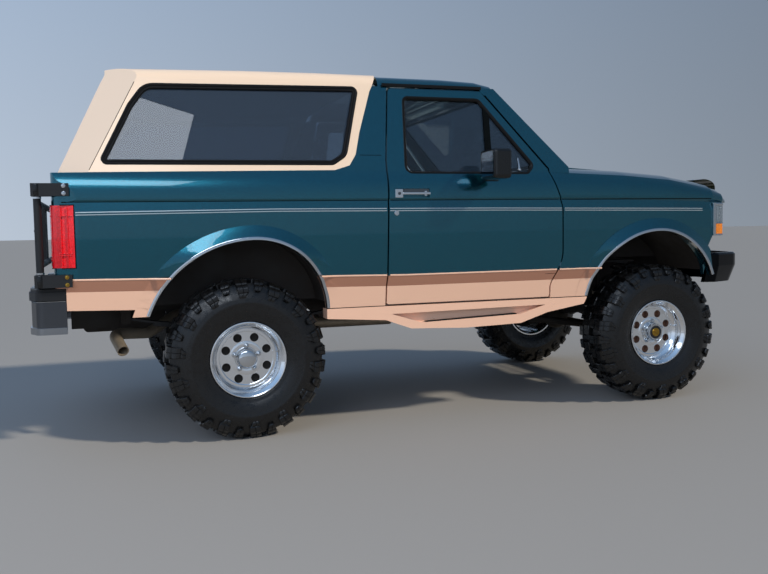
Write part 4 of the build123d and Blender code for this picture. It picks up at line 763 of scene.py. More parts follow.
def easedPanel(node):
    # The CAD panel with the lower ends of its wheel arch flares eased into the side, as the photograph shows
    bm = bmesh.new()
    bm.from_mesh(nodes[node].data)
    slope = (lowerSide["climb"] / lowerSide["climbRun"], 0, 1)
    planes = [((0, 0, z), (0, 0, 1)) for z in lowerSide["cuts"]]
    planes += [((lowerSide["climbFrom"], 0, z), slope) for z, half in lowerSide["rows"][2:4]]
    for place, normal in planes:
        geometry = bm.verts[:] + bm.edges[:] + bm.faces[:]
        bmesh.ops.bisect_plane(bm, geom=geometry, plane_co=place, plane_no=normal)
    bm.normal_update()
    inward = {v for v in bm.verts for f in v.link_faces if f.normal.y * v.co.y < 0 and abs(f.normal.y) > 0.8}
    low, high = lowerSide["fade"]
    for vert in bm.verts:
        skin = bodySkin(vert.co.x, vert.co.z)
        proud = abs(vert.co.y) - skin
        share = flareShare(vert.co.x, vert.co.z)
        if vert.co.z > high:
            continue
        if vert in inward and abs(abs(vert.co.y) - lowerSide["inner"]) < 0.0002:
            # The flare's inner wall moves in with it, so the two keep apart
            vert.co.y *= 1 - lowerSide["innerIn"] * (1 - share)
        elif proud > -0.0006 and (share < 1 or proud > 0.0004):
            vert.co.y = math.copysign(skin + max(proud, 0) * share, vert.co.y)
    # The eased skin is one plane again, so its leftover cuts go: from the top down, which keeps the creases
    near = [v for v in bm.verts if v.co.z < low + 0.02 and abs(v.co.y) > lowerSide["outside"]]
    reached = set(near)
    edges = [e for e in bm.edges if not reached.isdisjoint(e.verts)]
    edges.sort(key=lambda e: -(e.verts[0].co + e.verts[1].co).z)
    bmesh.ops.dissolve_limit(bm, angle_limit=math.radians(lowerSide["flat"]), verts=near, edges=edges)
    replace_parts(addPiece(f"{node}_eased", bm, "clearCoatedEnamel", sharp=12), node)


easedPanel("quarter_panels")
easedPanel("front_fenders")


def archPath(arch):
    apexX, apexZ = arch["apex"]
    path = []
    for radius, side, low in zip(arch["radii"], (-1, 1), arch["low"]):
        centreZ = apexZ - radius
        last = math.acos((low - centreZ) / radius) if low else math.asin((arch["frontX"] - apexX) / radius)
        turns = [last * k / arches["steps"] for k in range(arches["steps"] + 1)]
        arc = [((apexX + side * radius * math.sin(turn)) / 1000, (centreZ + radius * math.cos(turn)) / 1000)
               for turn in turns]
        path = arc[::-1] if side < 0 else path + arc[1:]
    out = []
    for x, z in path:
        skin = bodySkin(x, z)
        out.append((x, skin + (arches["face"] / 1000 - skin) * flareShare(x, z), z))
    return out


section = [(-a / 1000, b / 1000) for a, b in arches["section"]]
for word in ("rear", "front"):
    path = archPath(arches[word])
    bothSides(f"arch_lip_{word}", lambda bm: swept(bm, path, section, (0, 1, 0)), "chromePlate")


# Side stripes and mouldings

sideTrim = {
    "stripe": [(-2.035, 1.244), (-1.0, 1.253), (0.3, 1.247), (1.842, 1.232)],
    "stripeApart": 0.0125,
    "stripeSection": boxSection(0.0024, -0.0008, 0.0012),
    "bandLine": [(-2.14, 0.911), (-0.25, 0.875), (2.0, 0.875)],
    "bandSection": [(-0.0055, -0.002), (0.0055, -0.002), (0.0045, 0.0018), (0.001, 0.003), (-0.003, 0.0024)],
    "groove": [(-2.14, 1.3025), (2.0, 1.3025)],
    "grooveSection": boxSection(0.0028, -0.003, 0.0007),
}
for k, word in ((-0.5, "lower"), (0.5, "upper")):
    rows = [(x, z + k * sideTrim["stripeApart"]) for x, z in sideTrim["stripe"]]
    trimAlong(f"stripe_{word}", rows, sideTrim["stripeSection"], "silverTape", rows[0][0], rows[-1][0])
trimAlong("band_bead", sideTrim["bandLine"], sideTrim["bandSection"], "bandEnamel", -2.09, 1.9)
# A near-black strip along the belt groove: painted shade in the groove
trimAlong("belt_groove_shade", sideTrim["groove"], sideTrim["grooveSection"], "seamShadeAndMattBlack", -2.09, 1.92)
print("stage: side trim")


# Window gaskets and seals, each one laid round its opening on the skin

windows = {
    "cap": {
        "node": "rear_top",
        "outline": [(-1.895, 1.506), (-1.74, 1.815), (-1.66, 1.925), (-0.484, 1.95), (-0.586, 1.56),
                    (-0.66, 1.512)],
        "radii": [0.02, 0.06, 0.09, 0.025, 0.06, 0.04],
        # Double rubber: across from the glass outwards, and out from the skin
        "section": [(-0.019, -0.0125), (-0.019, -0.004), (-0.015, 0.0005), (-0.009, 0.0012), (-0.005, -0.001),
                    (-0.002, 0.0022), (0.006, 0.0038), (0.011, 0.0015), (0.0115, -0.0015), (0.0, -0.002),
                    (-0.001, -0.0125)],
    },
    "door": {
        "node": "door_left",
        "outline": [(-0.232, 1.462), (-0.205, 1.908), (0.278, 1.908), (0.6, 1.51), (0.556, 1.462)],
        "radii": [0.04, 0.03, 0.04, 0.03, 0.03],
        "section": [(-0.011, -0.0185), (-0.011, -0.006), (-0.006, -0.001), (-0.001, 0.0016), (0.004, 0.0022),
                    (0.0065, 0.0005), (0.0065, -0.0015), (0.0005, -0.002), (0.0, -0.0185)],
    },
    # Distance outside the opening at which the skin is felt for, and the gap between points
    "probe": 0.018,
    "gap": 0.06,
}


def windowSeal(bm, window):
    # Clockwise, so that the section's across runs away from the glass
    points = spaced(rounded(window["outline"], window["radii"]), windows["gap"], loop=True)
    if sum(a.x * b.y - b.x * a.y for a, b in zip(points, points[1:] + points[:1])) > 0:
        points = points[::-1]
    path, outs = [], []
    for i, point in enumerate(points):
        ahead = points[(i + 1) % len(points)] - points[i - 1]
        away = Vector((-ahead.y, ahead.x)).normalized() * windows["probe"]
        place, normal = skinAt(window["node"], *(point + away))
        if place is None or abs(normal.y) < 0.5:
            continue
        drop = (normal.x * (point.x - place.x) + normal.z * (point.y - place.z)) / normal.y
        path.append(Vector((point.x, place.y - drop, point.y)))
        outs.append(normal)
    swept(bm, path, window["section"], outs, loop=True)


bothSides("cap_window_gasket", lambda bm: windowSeal(bm, windows["cap"]), "extrudedRubber")
doorPair("door_window_channel", lambda bm: windowSeal(bm, windows["door"]), "extrudedRubber")


def ringIn(corners, radii, origin, up):
    return [origin + Vector((0, p.x, 0)) + up * p.y for p in rounded(corners, radii, steps=6)]


screen = {
    "foot": Vector((0.838, 0, 1.5)), "head": Vector((0.374, 0, 1.99)),
    # Half widths at the lower and upper edge of the opening, half its height, and how deep the glass lies
    "low": 0.846, "high": 0.775, "edge": 0.285, "back": 0.011,
    "section": [(-0.016, -0.006), (-0.012, 0.0005), (-0.002, 0.006), (0.01, 0.0105), (0.0135, 0.006),
                (0.0115, -0.006)],
}
slope = (screen["head"] - screen["foot"]).normalized()
screenOut = Vector((slope.z, 0, -slope.x))
low, high, edge = screen["low"], screen["high"], screen["edge"]
screenRing = ringIn([(-low, -edge), (low, -edge), (high, edge), (-high, edge)], [0.045] * 4,
                    (screen["foot"] + screen["head"]) / 2 - screenOut * screen["back"], slope)
onePiece("windscreen_gasket", lambda bm: flatRing(bm, screenRing, screenOut, screen["section"]),
         "extrudedRubber")

hatch = {
    "foot": Vector((-2.094, 0, 1.456)), "head": Vector((-1.897, 0, 1.892)),
    "low": 0.722, "high": 0.642,
    "section": [(-0.014, -0.006), (-0.012, 0.001), (-0.003, 0.0045), (0.008, 0.0055), (0.012, 0.002),
                (0.011, -0.004)],
    # Demister lines: how many, the first one's height, the step between them and their distance from the edge
    "lines": 11, "first": 0.05, "step": 0.034, "margin": 0.05,
}
hatchTall = (hatch["head"] - hatch["foot"]).length
hatchUp = (hatch["head"] - hatch["foot"]).normalized()
hatchOut = Vector((-hatchUp.z, 0, hatchUp.x))
low, high = hatch["low"], hatch["high"]
hatchRing = ringIn([(-low, 0.004), (low, 0.004), (high, hatchTall), (-high, hatchTall)],
                   [0.02, 0.02, 0.06, 0.06], hatch["foot"], hatchUp)
onePiece("rear_window_gasket", lambda bm: flatRing(bm, hatchRing, hatchOut, hatch["section"]),
         "extrudedRubber")


def demisterLines(bm):
    for i in range(hatch["lines"]):
        rise = hatch["first"] + i * hatch["step"]
        half = hatch["low"] + (hatch["high"] - hatch["low"]) * rise / hatchTall - hatch["margin"]
        start = hatch["foot"] + hatchUp * rise + hatchOut * 0.0012
        path = [start + Vector((0, y, 0)) for y in (-half, 0, half)]
        swept(bm, path, boxSection(0.0006, -0.0006, 0.0006), hatchOut)


onePiece("demister_lines", demisterLines, "brassPlate")

# Painted shade along the seams of the moulded top and of the pillar, and the cap of the drip rail

seams = {
    "rear_top": [(-1.952, 1.467), (-1.71, 1.94)],
    "quarter_panels": [(-0.5, 1.561), (-0.372, 1.561)],
    "section": boxSection(0.0015, -0.0015, 0.0005),
    "steps": 40,
}


def seamOn(bm, name):
    start, end = [Vector(point) for point in seams[name]]
    path, outs = [], []
    for k in range(seams["steps"] + 1):
        place, normal = skinAt(name, *start.lerp(end, k / seams["steps"]))
        if place is not None and abs(normal.y) > 0.4:
            path.append(place)
            outs.append(normal)
    swept(bm, path, seams["section"], outs)


# Near-black strips along the seams: painted shade
bothSides("top_seam_shade", lambda bm: seamOn(bm, "rear_top"), "seamShadeAndMattBlack")
bothSides("pillar_seam_shade", lambda bm: seamOn(bm, "quarter_panels"), "seamShadeAndMattBlack")

drip = {
    "x": (-0.3315, 0.2995),
    # Its section in y and z
    "section": [(0.8315, 1.9675), (0.8315, 1.9765), (0.8465, 1.9765), (0.8465, 1.9845), (0.855, 1.9845),
                (0.855, 1.9665)],
}
bothSides("drip_rail_cover", lambda bm: plate(
    bm, [(drip["x"][0], y, z) for y, z in drip["section"]], (drip["x"][1] - drip["x"][0], 0, 0),
), "extrudedRubber", rounding=0.001)
print("stage: windows and seams")


# Door handle, its lock, the mirror and the vent window's parts

handle = {
    # Push-button block, pull bar and the foot at the bar's end
    "bars": [((-0.313, 0.994, 1.316), (-0.266, 1.0105, 1.366)),
             ((-0.268, 0.998, 1.334), (-0.098, 1.0125, 1.348)),
             ((-0.134, 0.992, 1.326), (-0.118, 1.009, 1.356))],
    "cup": [(-0.262, 1.341), (-0.262, 1.3665), (-0.104, 1.3665), (-0.104, 1.341)],
    "cupRadii": [0.001, 0.012, 0.012, 0.001],
    "cupY": (0.9895, 1.003),
    "button": [(0, 0), (0.009, 0), (0.009, 0.002), (0.007, 0.003), (0, 0.003)],
    "buttonAt": (-0.289, 1.0103, 1.341),
}
lock = {
    "x": -0.305, "z": 1.23,
    "barrel": [(0, -0.002), (0.0145, -0.002), (0.0145, 0.002), (0.0125, 0.004), (0.008, 0.004),
               (0.0072, 0.003), (0, 0.003)],
}


def bricks(bm, boxes):
    for low, high in boxes:
        brick(bm, low, high)


def handleDark(bm):
    # Cup behind the bar, and the button's dark centre
    low, high = handle["cupY"]
    plate(bm, [(p.x, low, p.y) for p in rounded(handle["cup"], handle["cupRadii"])], (0, high - low, 0))
    turned(bm, handle["button"], handle["buttonAt"], (0, 1, 0), 24)


def doorLock(bm):
    # Lock barrel under the handle, with its key slot
    x, z = lock["x"], lock["z"]
    y = skinAt("door_left", x, z)[0].y
    turned(bm, lock["barrel"], (x, y, z), (0, 1, 0), 32)
    brick(bm, (x - 0.0008, y + 0.002, z - 0.0045), (x + 0.0008, y + 0.0042, z + 0.0045))


doorPair("door_handle", lambda bm: bricks(bm, handle["bars"]), "chromePlate", rounding=0.003)
doorPair("handle_cup", handleDark, "mouldedVinyl")
doorPair("door_lock", doorLock, "chromePlate")


def boxRing(x, low, high, radius=0):
    # Outline of an upright rectangle across the vehicle, from its low to its high (y, z) corner
    (y0, z0), (y1, z1) = low, high
    flat = rounded([(y0, z0), (y1, z0), (y1, z1), (y0, z1)], [radius] * 4)
    return [Vector((x, p.x, p.y)) for p in flat]


mirror = {
    "glassX": 0.1995, "glass": ((1.066, 1.431), (1.219, 1.569), 0.016), "glassThick": 0.0022,
    "rimX": 0.201, "rim": ((1.058, 1.423), (1.227, 1.577), 0.022),
    "section": [(-0.01, -0.004), (-0.01, 0.003), (-0.005, 0.0052), (0.003, 0.003), (0.004, -0.004)],
    # Ribs on the arm's cover
    "ribs": [((0.262 + k * 0.02, 0.985, 1.4655), (0.27 + k * 0.02, 1.004, 1.4715)) for k in range(4)],
}


def mirrorRim(bm):
    flatRing(bm, boxRing(mirror["rimX"], *mirror["rim"]), (-1, 0, 0), mirror["section"])
    bricks(bm, mirror["ribs"])


upperSide = {"belt": (1.47, 0.963), "eave": (1.966, 0.843)}
vent = {
    # Bar between the door glass and the vent window: its upper and its lower end in x, and their heights
    "bar": [(0.309, 0.347, 1.915), (0.284, 0.322, 1.455)], "depth": 0.0045, "thick": 0.014,
    "latch": [(0.503, 1.484), (0.513, 1.484), (0.508, 1.556), (0.5, 1.556)], "latchDepth": 0.0165,
    "knob": [(0, 0), (0.01, 0), (0.01, 0.008), (0.007, 0.011), (0, 0.011)],
    # Its x, its z and how deep it sits
    "knobAt": (0.508, 1.484, 0.017),
}


def bodySide(z):
    # Half width of the upper body at a height
    (low, wide), (high, narrow) = upperSide["belt"], upperSide["eave"]
    return wide + (narrow - wide) * (z - low) / (high - low)


def ventPost(bm):
    rows = []
    for back, front, z in vent["bar"]:
        y = bodySide(z) - vent["depth"]
        inside = y - vent["thick"]
        rows.append([(back, inside, z), (back, y, z), (front, y, z), (front, inside, z)])
    joinRings(bm, [[bm.verts.new(p) for p in row] for row in rows])


def ventLatch(bm):
    # Latch of the vent window, on its glass, in the front lower corner
    plate(bm, [(x, bodySide(z) - vent["latchDepth"], z) for x, z in vent["latch"]], (0, 0.008, 0))
    x, z, depth = vent["knobAt"]
    turned(bm, vent["knob"], (x, bodySide(z) - depth, z), (0, 1, 0), 20)


doorPair("vent_post", ventPost, "seamShadeAndMattBlack")
doorPair("vent_latch", ventLatch, "chromePlate", rounding=0.001)
doorPair("mirror_glass", lambda bm: plate(
    bm, boxRing(mirror["glassX"], *mirror["glass"]), (-mirror["glassThick"], 0, 0),
), "silveredGlass")
doorPair("mirror_rim", mirrorRim, "glossyAbs")
print("stage: door trim")


# Headlamps: a clear fluted lens over an amber one, set in a chrome bezel

lamp = {
    "low": 1.061, "high": 1.272,
    # Lowest and highest edge of each lens
    "clear": (1.145, 1.264), "amber": (1.067, 1.139),
    # Plan of the outer face, from the grille round to the fender
    "plan": [(2.079, 0.606), (2.0945, 0.79), (2.088, 0.815), (2.05, 0.893), (2.01, 0.9415), (1.985, 0.9525),
             (1.93, 0.956)],
    "flute": 0.011, "fluteDeep": 0.0016, "lift": 0.001, "thick": 0.0045, "edge": 0.004,
    # Heights and half widths of the bezel's bars
    "bars": ((1.265, 0.009), (1.142, 0.0045), (1.065, 0.006)),
    "rearBar": [(1.9205, 0.9585), (1.9205, 0.9715), (1.944, 0.9675), (1.947, 0.9545)],
}


def lensShell(bm, z0, z1):
    # A closed shell along the plan, its face pressed into vertical flutes
    points = spaced(lamp["plan"], lamp["flute"] / 2)
    rings = []
    for i, (point, away) in enumerate(zip(points, sideways(points))):
        back = point + away.xy * lamp["lift"]
        front = point + away.xy * (lamp["lift"] + lamp["thick"] - lamp["fluteDeep"] * (i % 2))
        inset = back.lerp(front, 0.35)
        ring = [(back, z0), (inset, z0), (front, z0 + lamp["edge"]),
                (front, z1 - lamp["edge"]), (inset, z1), (back, z1)]
        rings.append([bm.verts.new((p.x, p.y, z)) for p, z in ring])
    joinRings(bm, rings)


def lampFrame(bm):
    # Bezel: along the top and the foot, between the two lenses, and down the rear edge
    plan = spaced(lamp["plan"], 0.03)
    for z, half in lamp["bars"]:
        section = [(-half, -0.002), (half, -0.002), (half, 0.0065), (half * 0.4, 0.009), (-half * 0.4, 0.009),
                   (-half, 0.0065)]
        swept(bm, [(p.x, p.y, z) for p in plan], section, sideways(plan))
    tall = lamp["high"] - lamp["low"] + 0.004
    plate(bm, [(x, y, lamp["low"] - 0.002) for x, y in lamp["rearBar"]], (0, 0, tall))


pairOf("headlamp_lens", lambda bm: lensShell(bm, *lamp["clear"]), "lampGlass", sharp=20)
pairOf("turn_lens", lambda bm: lensShell(bm, *lamp["amber"]), "amberLens", sharp=20)
bothSides("headlamp_bezel", lampFrame, "chromePlate", rounding=0.001)

# Tail lamps: ribs, a clear lens at the foot and a dark surround

tail = {
    "x": -2.147, "front": -2.035, "side": 1.004, "inner": 0.853, "low": 0.972, "high": 1.287,
    "screw": [(0, 0), (0.0055, 0), (0.0045, 0.0022), (0, 0.003)],
    "screwY": (0.87, 0.953), "screwZ": (1.0, 1.262),
    # Width of a rib, heights of the level ones, and places of the upright ones behind and beside
    "rib": 0.0035, "levels": (1.034, 1.042, 1.232), "behind": (0.893, 0.933), "beside": (-2.098, -2.066),
    "reverse": ((-2.1492, 0.867, 0.984), (-2.144, 0.962, 1.028)),
}


def tailRibs(bm):
    x, rib, low, high = tail["x"], tail["rib"], tail["low"] + 0.01, tail["high"] - 0.01
    for z in tail["levels"]:
        brick(bm, (x - 0.0016, 0.865, z), (x + 0.003, 0.965, z + rib))
        brick(bm, (-2.11, 0.99, z), (tail["front"] - 0.006, tail["side"] + 0.0016, z + rib))
    for y in tail["behind"]:
        brick(bm, (x - 0.0018, y, low), (x + 0.003, y + rib, high))
    for x in tail["beside"]:
        brick(bm, (x, 0.99, low), (x + 0.003, tail["side"] + 0.0018, high))


def tailSurround(bm):
    # Dark gasket along the lamp's edges
    x, front, inner, low, high = tail["x"], tail["front"], tail["inner"], tail["low"], tail["high"]
    for z in (low - 0.004, high):
        brick(bm, (x - 0.001, inner - 0.004, z), (x + 0.006, 0.962, z + 0.004))
        brick(bm, (-2.1, 0.994, z), (front + 0.004, tail["side"], z + 0.004))
    brick(bm, (front, 0.994, low - 0.004), (front + 0.004, tail["side"], high + 0.004))
    brick(bm, (x - 0.001, inner - 0.004, low - 0.004), (x + 0.006, inner, high + 0.004))


bothSides("tail_lens_ribs", tailRibs, "redLens", rounding=0.0008)
bothSides("reverse_lens", lambda bm: brick(bm, *tail["reverse"]), "lampGlass", rounding=0.0015)
bothSides("tail_lamp_gasket", tailSurround, "seamShadeAndMattBlack")
screws = [(tail["x"] - 0.0005, y, z) for z in tail["screwZ"] for y in tail["screwY"]]
bothSides("tail_lamp_screws", turnedAt(tail["screw"], screws, (-1, 0, 0), 16), "chromePlate")
print("stage: lamps")


# Nose: bright grille surround, cowl slots, wipers, washer jets and the deflector

grilleTrim = {
    "x": 2.079, "low": (-0.561, 1.084), "high": (0.561, 1.247),
    "section": [(-0.002, -0.004), (-0.002, 0.003), (0.006, 0.005), (0.012, 0.003), (0.013, -0.004)],
}
onePiece("grille_surround", lambda bm: flatRing(
    bm, boxRing(grilleTrim["x"], grilleTrim["low"], grilleTrim["high"]), (1, 0, 0), grilleTrim["section"],
), "chromePlate")


cowl = {
    # Slots: how many to each side of the middle one, their step and half length, the rows and their width
    "count": 5, "step": 0.115, "half": 0.05, "rows": (0.862, 0.882, 0.902), "wide": 0.008,
    "low": 1.4545, "high": 1.466,
    "tray": ((0.855, -0.66, 1.4545), (0.918, 0.66, 1.458)),
}


def cowlLouvres(bm):
    half = cowl["half"]
    for y in (k * cowl["step"] for k in range(-cowl["count"], cowl["count"] + 1)):
        for x in cowl["rows"]:
            brick(bm, (x, y - half, cowl["low"]), (x + cowl["wide"], y + half, cowl["high"]))
    brick(bm, *cowl["tray"])


onePiece("cowl_louvres", cowlLouvres, "mouldedVinyl", rounding=0.001)

wiper = {
    "feet": (-0.52, 0.18), "arm": 0.5, "blade": 0.46, "lift": 0.012, "bow": 0.004,
    "spindle": [(0, -0.01), (0.016, -0.01), (0.016, 0.008), (0.011, 0.015), (0, 0.017)],
    "armSection": [(-0.006, -0.002), (0.006, -0.002), (0.004, 0.003), (-0.004, 0.003)],
    "bladeSection": [(-0.004, 0.004), (0.004, 0.004), (0.002, -0.003), (0.001, -0.01), (-0.001, -0.01),
                     (-0.002, -0.003)],
}


def wiperParts():
    arms, blades = bmesh.new(), bmesh.new()
    out, blade = screenOut, wiper["blade"]
    for foot in wiper["feet"]:
        base = screen["foot"] - out * 0.004 + Vector((0.004, foot, 0)) - slope * 0.012
        turned(arms, wiper["spindle"], base, out, 24)
        tip = base + slope * 0.05 + Vector((0, wiper["arm"], 0)) + out * wiper["lift"]
        bend = base + slope * 0.03 + Vector((0, 0.12, 0)) + out * (wiper["lift"] + 0.008)
        swept(arms, [base + out * 0.012, bend, tip], wiper["armSection"], out)
        start = tip - Vector((0, blade / 2, 0)) + slope * 0.012 - out * 0.002
        path = [start + Vector((0, blade * k / 8, 0)) + out * wiper["bow"] * math.sin(math.pi * k / 8)
                for k in range(9)]
        swept(blades, path, wiper["bladeSection"], out)
    addPiece("wiper_arms", arms, "blackPowderCoat", rounding=0.0008)
    addPiece("wiper_blades", blades, "extrudedRubber")


wiperParts()

jet = [(0, -0.002), (0.011, -0.002), (0.011, 0.003), (0.007, 0.008), (0, 0.009)]
onePiece("washer_jets", turnedAt(jet, [(0.99, y, 1.5345) for y in (-0.3, 0.3)], (0, 0, 1), 20),
         "mouldedVinyl", "hood")

# Deflector: a smooth formed sheet on four feet, through three points in side view
deflector = {
    "points": ((1.99, 1.44), (2.091, 1.417), (2.143, 1.35)), "thick": 0.0045, "half": 0.763, "corner": 0.07,
    "steps": 28, "across": 12, "feet": (-0.66, -0.24, 0.24, 0.66),
    # Low and high corner of a foot in x and z, and its half width
    "foot": ((1.992, 1.394), (2.014, 1.4345), 0.013),
    "screw": [(0, -0.001), (0.008, -0.001), (0.0075, 0.003), (0.004, 0.0045), (0, 0.005)],
}


def circleThrough(a, b, c):
    # Centre of the circle through three points
    (ax, ay), (bx, by), (cx, cy) = a, b, c
    d = 2 * (ax * (by - cy) + bx * (cy - ay) + cx * (ay - by))
    aa, bb, cc = ax * ax + ay * ay, bx * bx + by * by, cx * cx + cy * cy
    x = (aa * (by - cy) + bb * (cy - ay) + cc * (ay - by)) / d
    y = (aa * (cx - bx) + bb * (ax - cx) + cc * (bx - ax)) / d
    return Vector((x, y))


def deflectorSheet(bm):
    centre = circleThrough(*deflector["points"])
    arms = [Vector(point) - centre for point in deflector["points"]]
    radius, first, last = arms[0].length, math.atan2(*arms[0].yx), math.atan2(*arms[2].yx)
    corner, across = deflector["corner"], deflector["across"]
    rings = []
    for k in range(deflector["steps"] + 1):
        turn = first + (last - first) * k / deflector["steps"]
        x = centre.x + radius * math.cos(turn)
        short = max(0.0, x - (deflector["points"][2][0] - corner))
        half = deflector["half"] - (corner - math.sqrt(max(0, corner ** 2 - short ** 2)))
        spots = [half * j / across for j in range(-across, across + 1)]
        ring = []
        for r, row in ((radius, spots), (radius - deflector["thick"], spots[::-1])):
            place = centre + Vector((math.cos(turn), math.sin(turn))) * r
            ring += [bm.verts.new((place.x, y, place.y)) for y in row]
        rings.append(ring)
    joinRings(bm, rings)
    (x0, z0), (x1, z1), wide = deflector["foot"]
    for y in deflector["feet"]:
        brick(bm, (x0, y - wide, z0), (x1, y + wide, z1))


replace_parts(onePiece("nose_deflector", deflectorSheet, "smokedAcrylic", "hood"), "hood_deflector")
# Screws through the sheet into the feet
onePiece("deflector_screws", turnedAt(deflector["screw"], [(2.003, y, 1.4385) for y in deflector["feet"]],
                                      (0.25, 0, 0.97), 20), "chromePlate", "hood")
print("stage: nose trim")


# Rear bumper: rubber tread strips, corner cushions, a bright bead and a blank plate holder

rearBumper = {
    "x": -2.2605,
    # Height of the treads, their ends in y, and their ribs' number, first x and step
    "tread": 0.8505, "pads": ((0.02, 0.3), (0.33, 0.61)), "ribs": 6, "ribX": -2.245, "ribStep": 0.0158,
    "corner": [(-2.262, 0.652), (-2.262, 0.872), (-2.222, 0.958), (-2.095, 0.9615), (-2.095, 0.936),
               (-2.15, 0.93), (-2.15, 0.652)],
    "cornerRadii": [0.02, 0.05, 0.03, 0.004, 0.004, 0.02, 0.02],
    # Rings of the domed corner: share of the way towards its middle, and height
    "dome": [(0.0, 0.857), (0.0, 0.8635), (0.004, 0.8675), (0.016, 0.8715), (0.04, 0.873)],
    # The dome falls off by this much more along the vehicle than across it
    "middle": Vector((-2.206, 0.80)), "domeAlong": 1.6,
    "bead": [(-2.089, 0.9592), (-2.225, 0.9592), (-2.2545, 0.872), (-2.2545, 0.0)],
    "beadRadii": [0, 0.04, 0.06, 0], "beadZ": 0.802,
    "beadSection": [(-0.0035, -0.004), (0.0035, -0.004), (0.003, 0.005), (0, 0.0075), (-0.003, 0.005)],
    "plate": ((-0.16, 0.675), (0.16, 0.79), 0.012),
    "plateSection": [(-0.005, -0.004), (-0.004, 0.004), (0.002, 0.006), (0.005, 0.003), (0.005, -0.004)],
    "screw": [(0, 0), (0.006, 0), (0.005, 0.003), (0, 0.0035)],
    "bolt": [(0, 0), (0.011, 0), (0.011, 0.004), (0.007, 0.007), (0, 0.007)],
    "screwsAt": [(-0.09, 0.777), (0.09, 0.777)],
    "boltsAt": [(y, z) for y in (-0.385, 0.385) for z in (0.69, 0.72)],
}


def treadPads(bm):
    z = rearBumper["tread"]
    for y0, y1 in rearBumper["pads"]:
        brick(bm, (-2.252, y0, z - 0.002), (-2.155, y1, z + 0.002))
        for k in range(rearBumper["ribs"]):
            x = rearBumper["ribX"] + k * rearBumper["ribStep"]
            brick(bm, (x, y0 + 0.008, z + 0.0015), (x + 0.007, y1 - 0.008, z + 0.0045))


def cornerPad(bm):
    # Domed rubber cushion on the bumper's corner, up to the bracket
    flat = rounded(rearBumper["corner"], rearBumper["cornerRadii"])
    aways = [rearBumper["middle"] - p for p in flat]
    joinRings(bm, [[
        bm.verts.new((p.x + away.x * inset * rearBumper["domeAlong"], p.y + away.y * inset, z))
        for p, away in zip(flat, aways)
    ] for inset, z in rearBumper["dome"]])


def bumperBead(bm):
    # Bright bead in the groove under the tread edge
    plan = rounded(rearBumper["bead"], rearBumper["beadRadii"])
    swept(bm, [(p.x, p.y, rearBumper["beadZ"]) for p in plan], rearBumper["beadSection"], sideways(plan))


def plateHolder(bm):
    x, plateBox = rearBumper["x"], rearBumper["plate"]
    flatRing(bm, boxRing(x - 0.001, *plateBox), (-1, 0, 0), rearBumper["plateSection"])
    plate(bm, boxRing(x + 0.001, *plateBox), (-0.003, 0, 0))


def bumperBolts(bm):
    for kind, x in (("screw", rearBumper["x"] - 0.002), ("bolt", rearBumper["x"])):
        spots = [(x, y, z) for y, z in rearBumper[kind + "sAt"]]
        turnedAt(rearBumper[kind], spots, (-1, 0, 0), 6)(bm)


bothSides("bumper_corner_pad", cornerPad, "glossyAbs")
bothSides("bumper_bead", bumperBead, "chromePlate")
bothSides("bumper_tread_pads", treadPads, "extrudedRubber")
onePiece("plate_holder", plateHolder, "mouldedVinyl")
onePiece("bumper_bolts", bumperBolts, "chromePlate")

# Tailgate: bright frame round the recess, and the handle with its lock in a dark cup

tailgateTrim = {
    "frameX": -2.133, "frame": ((-0.556, 1.094), (0.556, 1.226)),
    "section": [(-0.008, -0.001), (-0.008, 0.004), (-0.002, 0.0085), (0.003, 0.009), (0.004, -0.001)],
    "cup": ((-2.1415, -0.11, 1.29), (-2.1385, 0.11, 1.372)),
    "handle": ((-2.1525, -0.085, 1.3), (-2.141, 0.085, 1.336)),
    "lock": [(0, 0), (0.011, 0), (0.011, 0.003), (0.0085, 0.005), (0, 0.005)],
    "lockAt": (-2.141, 0, 1.354),
}


def tailgateHandle(bm):
    brick(bm, *tailgateTrim["handle"])
    turned(bm, tailgateTrim["lock"], tailgateTrim["lockAt"], (-1, 0, 0), 24)


onePiece("tailgate_surround", lambda bm: flatRing(
    bm, boxRing(tailgateTrim["frameX"], *tailgateTrim["frame"]), (-1, 0, 0), tailgateTrim["section"],
), "chromePlate")
onePiece("tailgate_handle_cup", lambda bm: brick(bm, *tailgateTrim["cup"]), "mouldedVinyl", rounding=0.001)
onePiece("tailgate_handle", tailgateHandle, "chromePlate", rounding=0.003)

# Carrier brackets: two hex bolts through each plate, the pivots, and collars and a cap on the frame

bracket = {
    # Place of the bolts in x and y, how far they lie above and below the plate's middle, and that height
    "boltAt": (-2.077, -1.0103), "apart": 0.019,
    "rows": (("low", 0.906, "brassPlate"), ("high", 1.366, "chromePlate")),
    "washer": [(0, 0), (0.0105, 0), (0.0105, 0.0015), (0.0088, 0.002), (0, 0.002)],
    "hex": [(0, 0.0015), (0.0075, 0.0015), (0.0075, 0.0065), (0.0055, 0.0078), (0, 0.0078)],
    # Pivot barrels stand a little out of the straps: their ends in height and their place
    "barrels": ((0.876, 0.936), (1.336, 1.396)), "barrelAt": (-2.205, -0.9965, 0),
    "collar": [(0.0085, 0), (0.021, 0), (0.021, 0.009), (0.0085, 0.009)],
    "collarsAt": ((-2.205, -0.958, 0.9405), (-2.205, -0.958, 1.3225)),
    "cap": [(0, 0), (0.0172, 0), (0.0172, 0.004), (0.013, 0.009), (0, 0.01)],
    "capAt": (-2.205, 0.64, 1.329),
}


def bracketBolts(bm, height):
    x, y = bracket["boltAt"]
    for z in (height - bracket["apart"], height + bracket["apart"]):
        turned(bm, bracket["washer"], (x, y, z), (0, -1, 0), 24)
        turned(bm, bracket["hex"], (x, y, z), (0, -1, 0), 6)


def pivotBarrels(bm):
    for z0, z1 in bracket["barrels"]:
        profile = [(0, z0), (0.017, z0), (0.0185, z0 + 0.003), (0.0185, z1 - 0.003), (0.017, z1), (0, z1)]
        turned(bm, profile, bracket["barrelAt"], (0, 0, 1), 28)


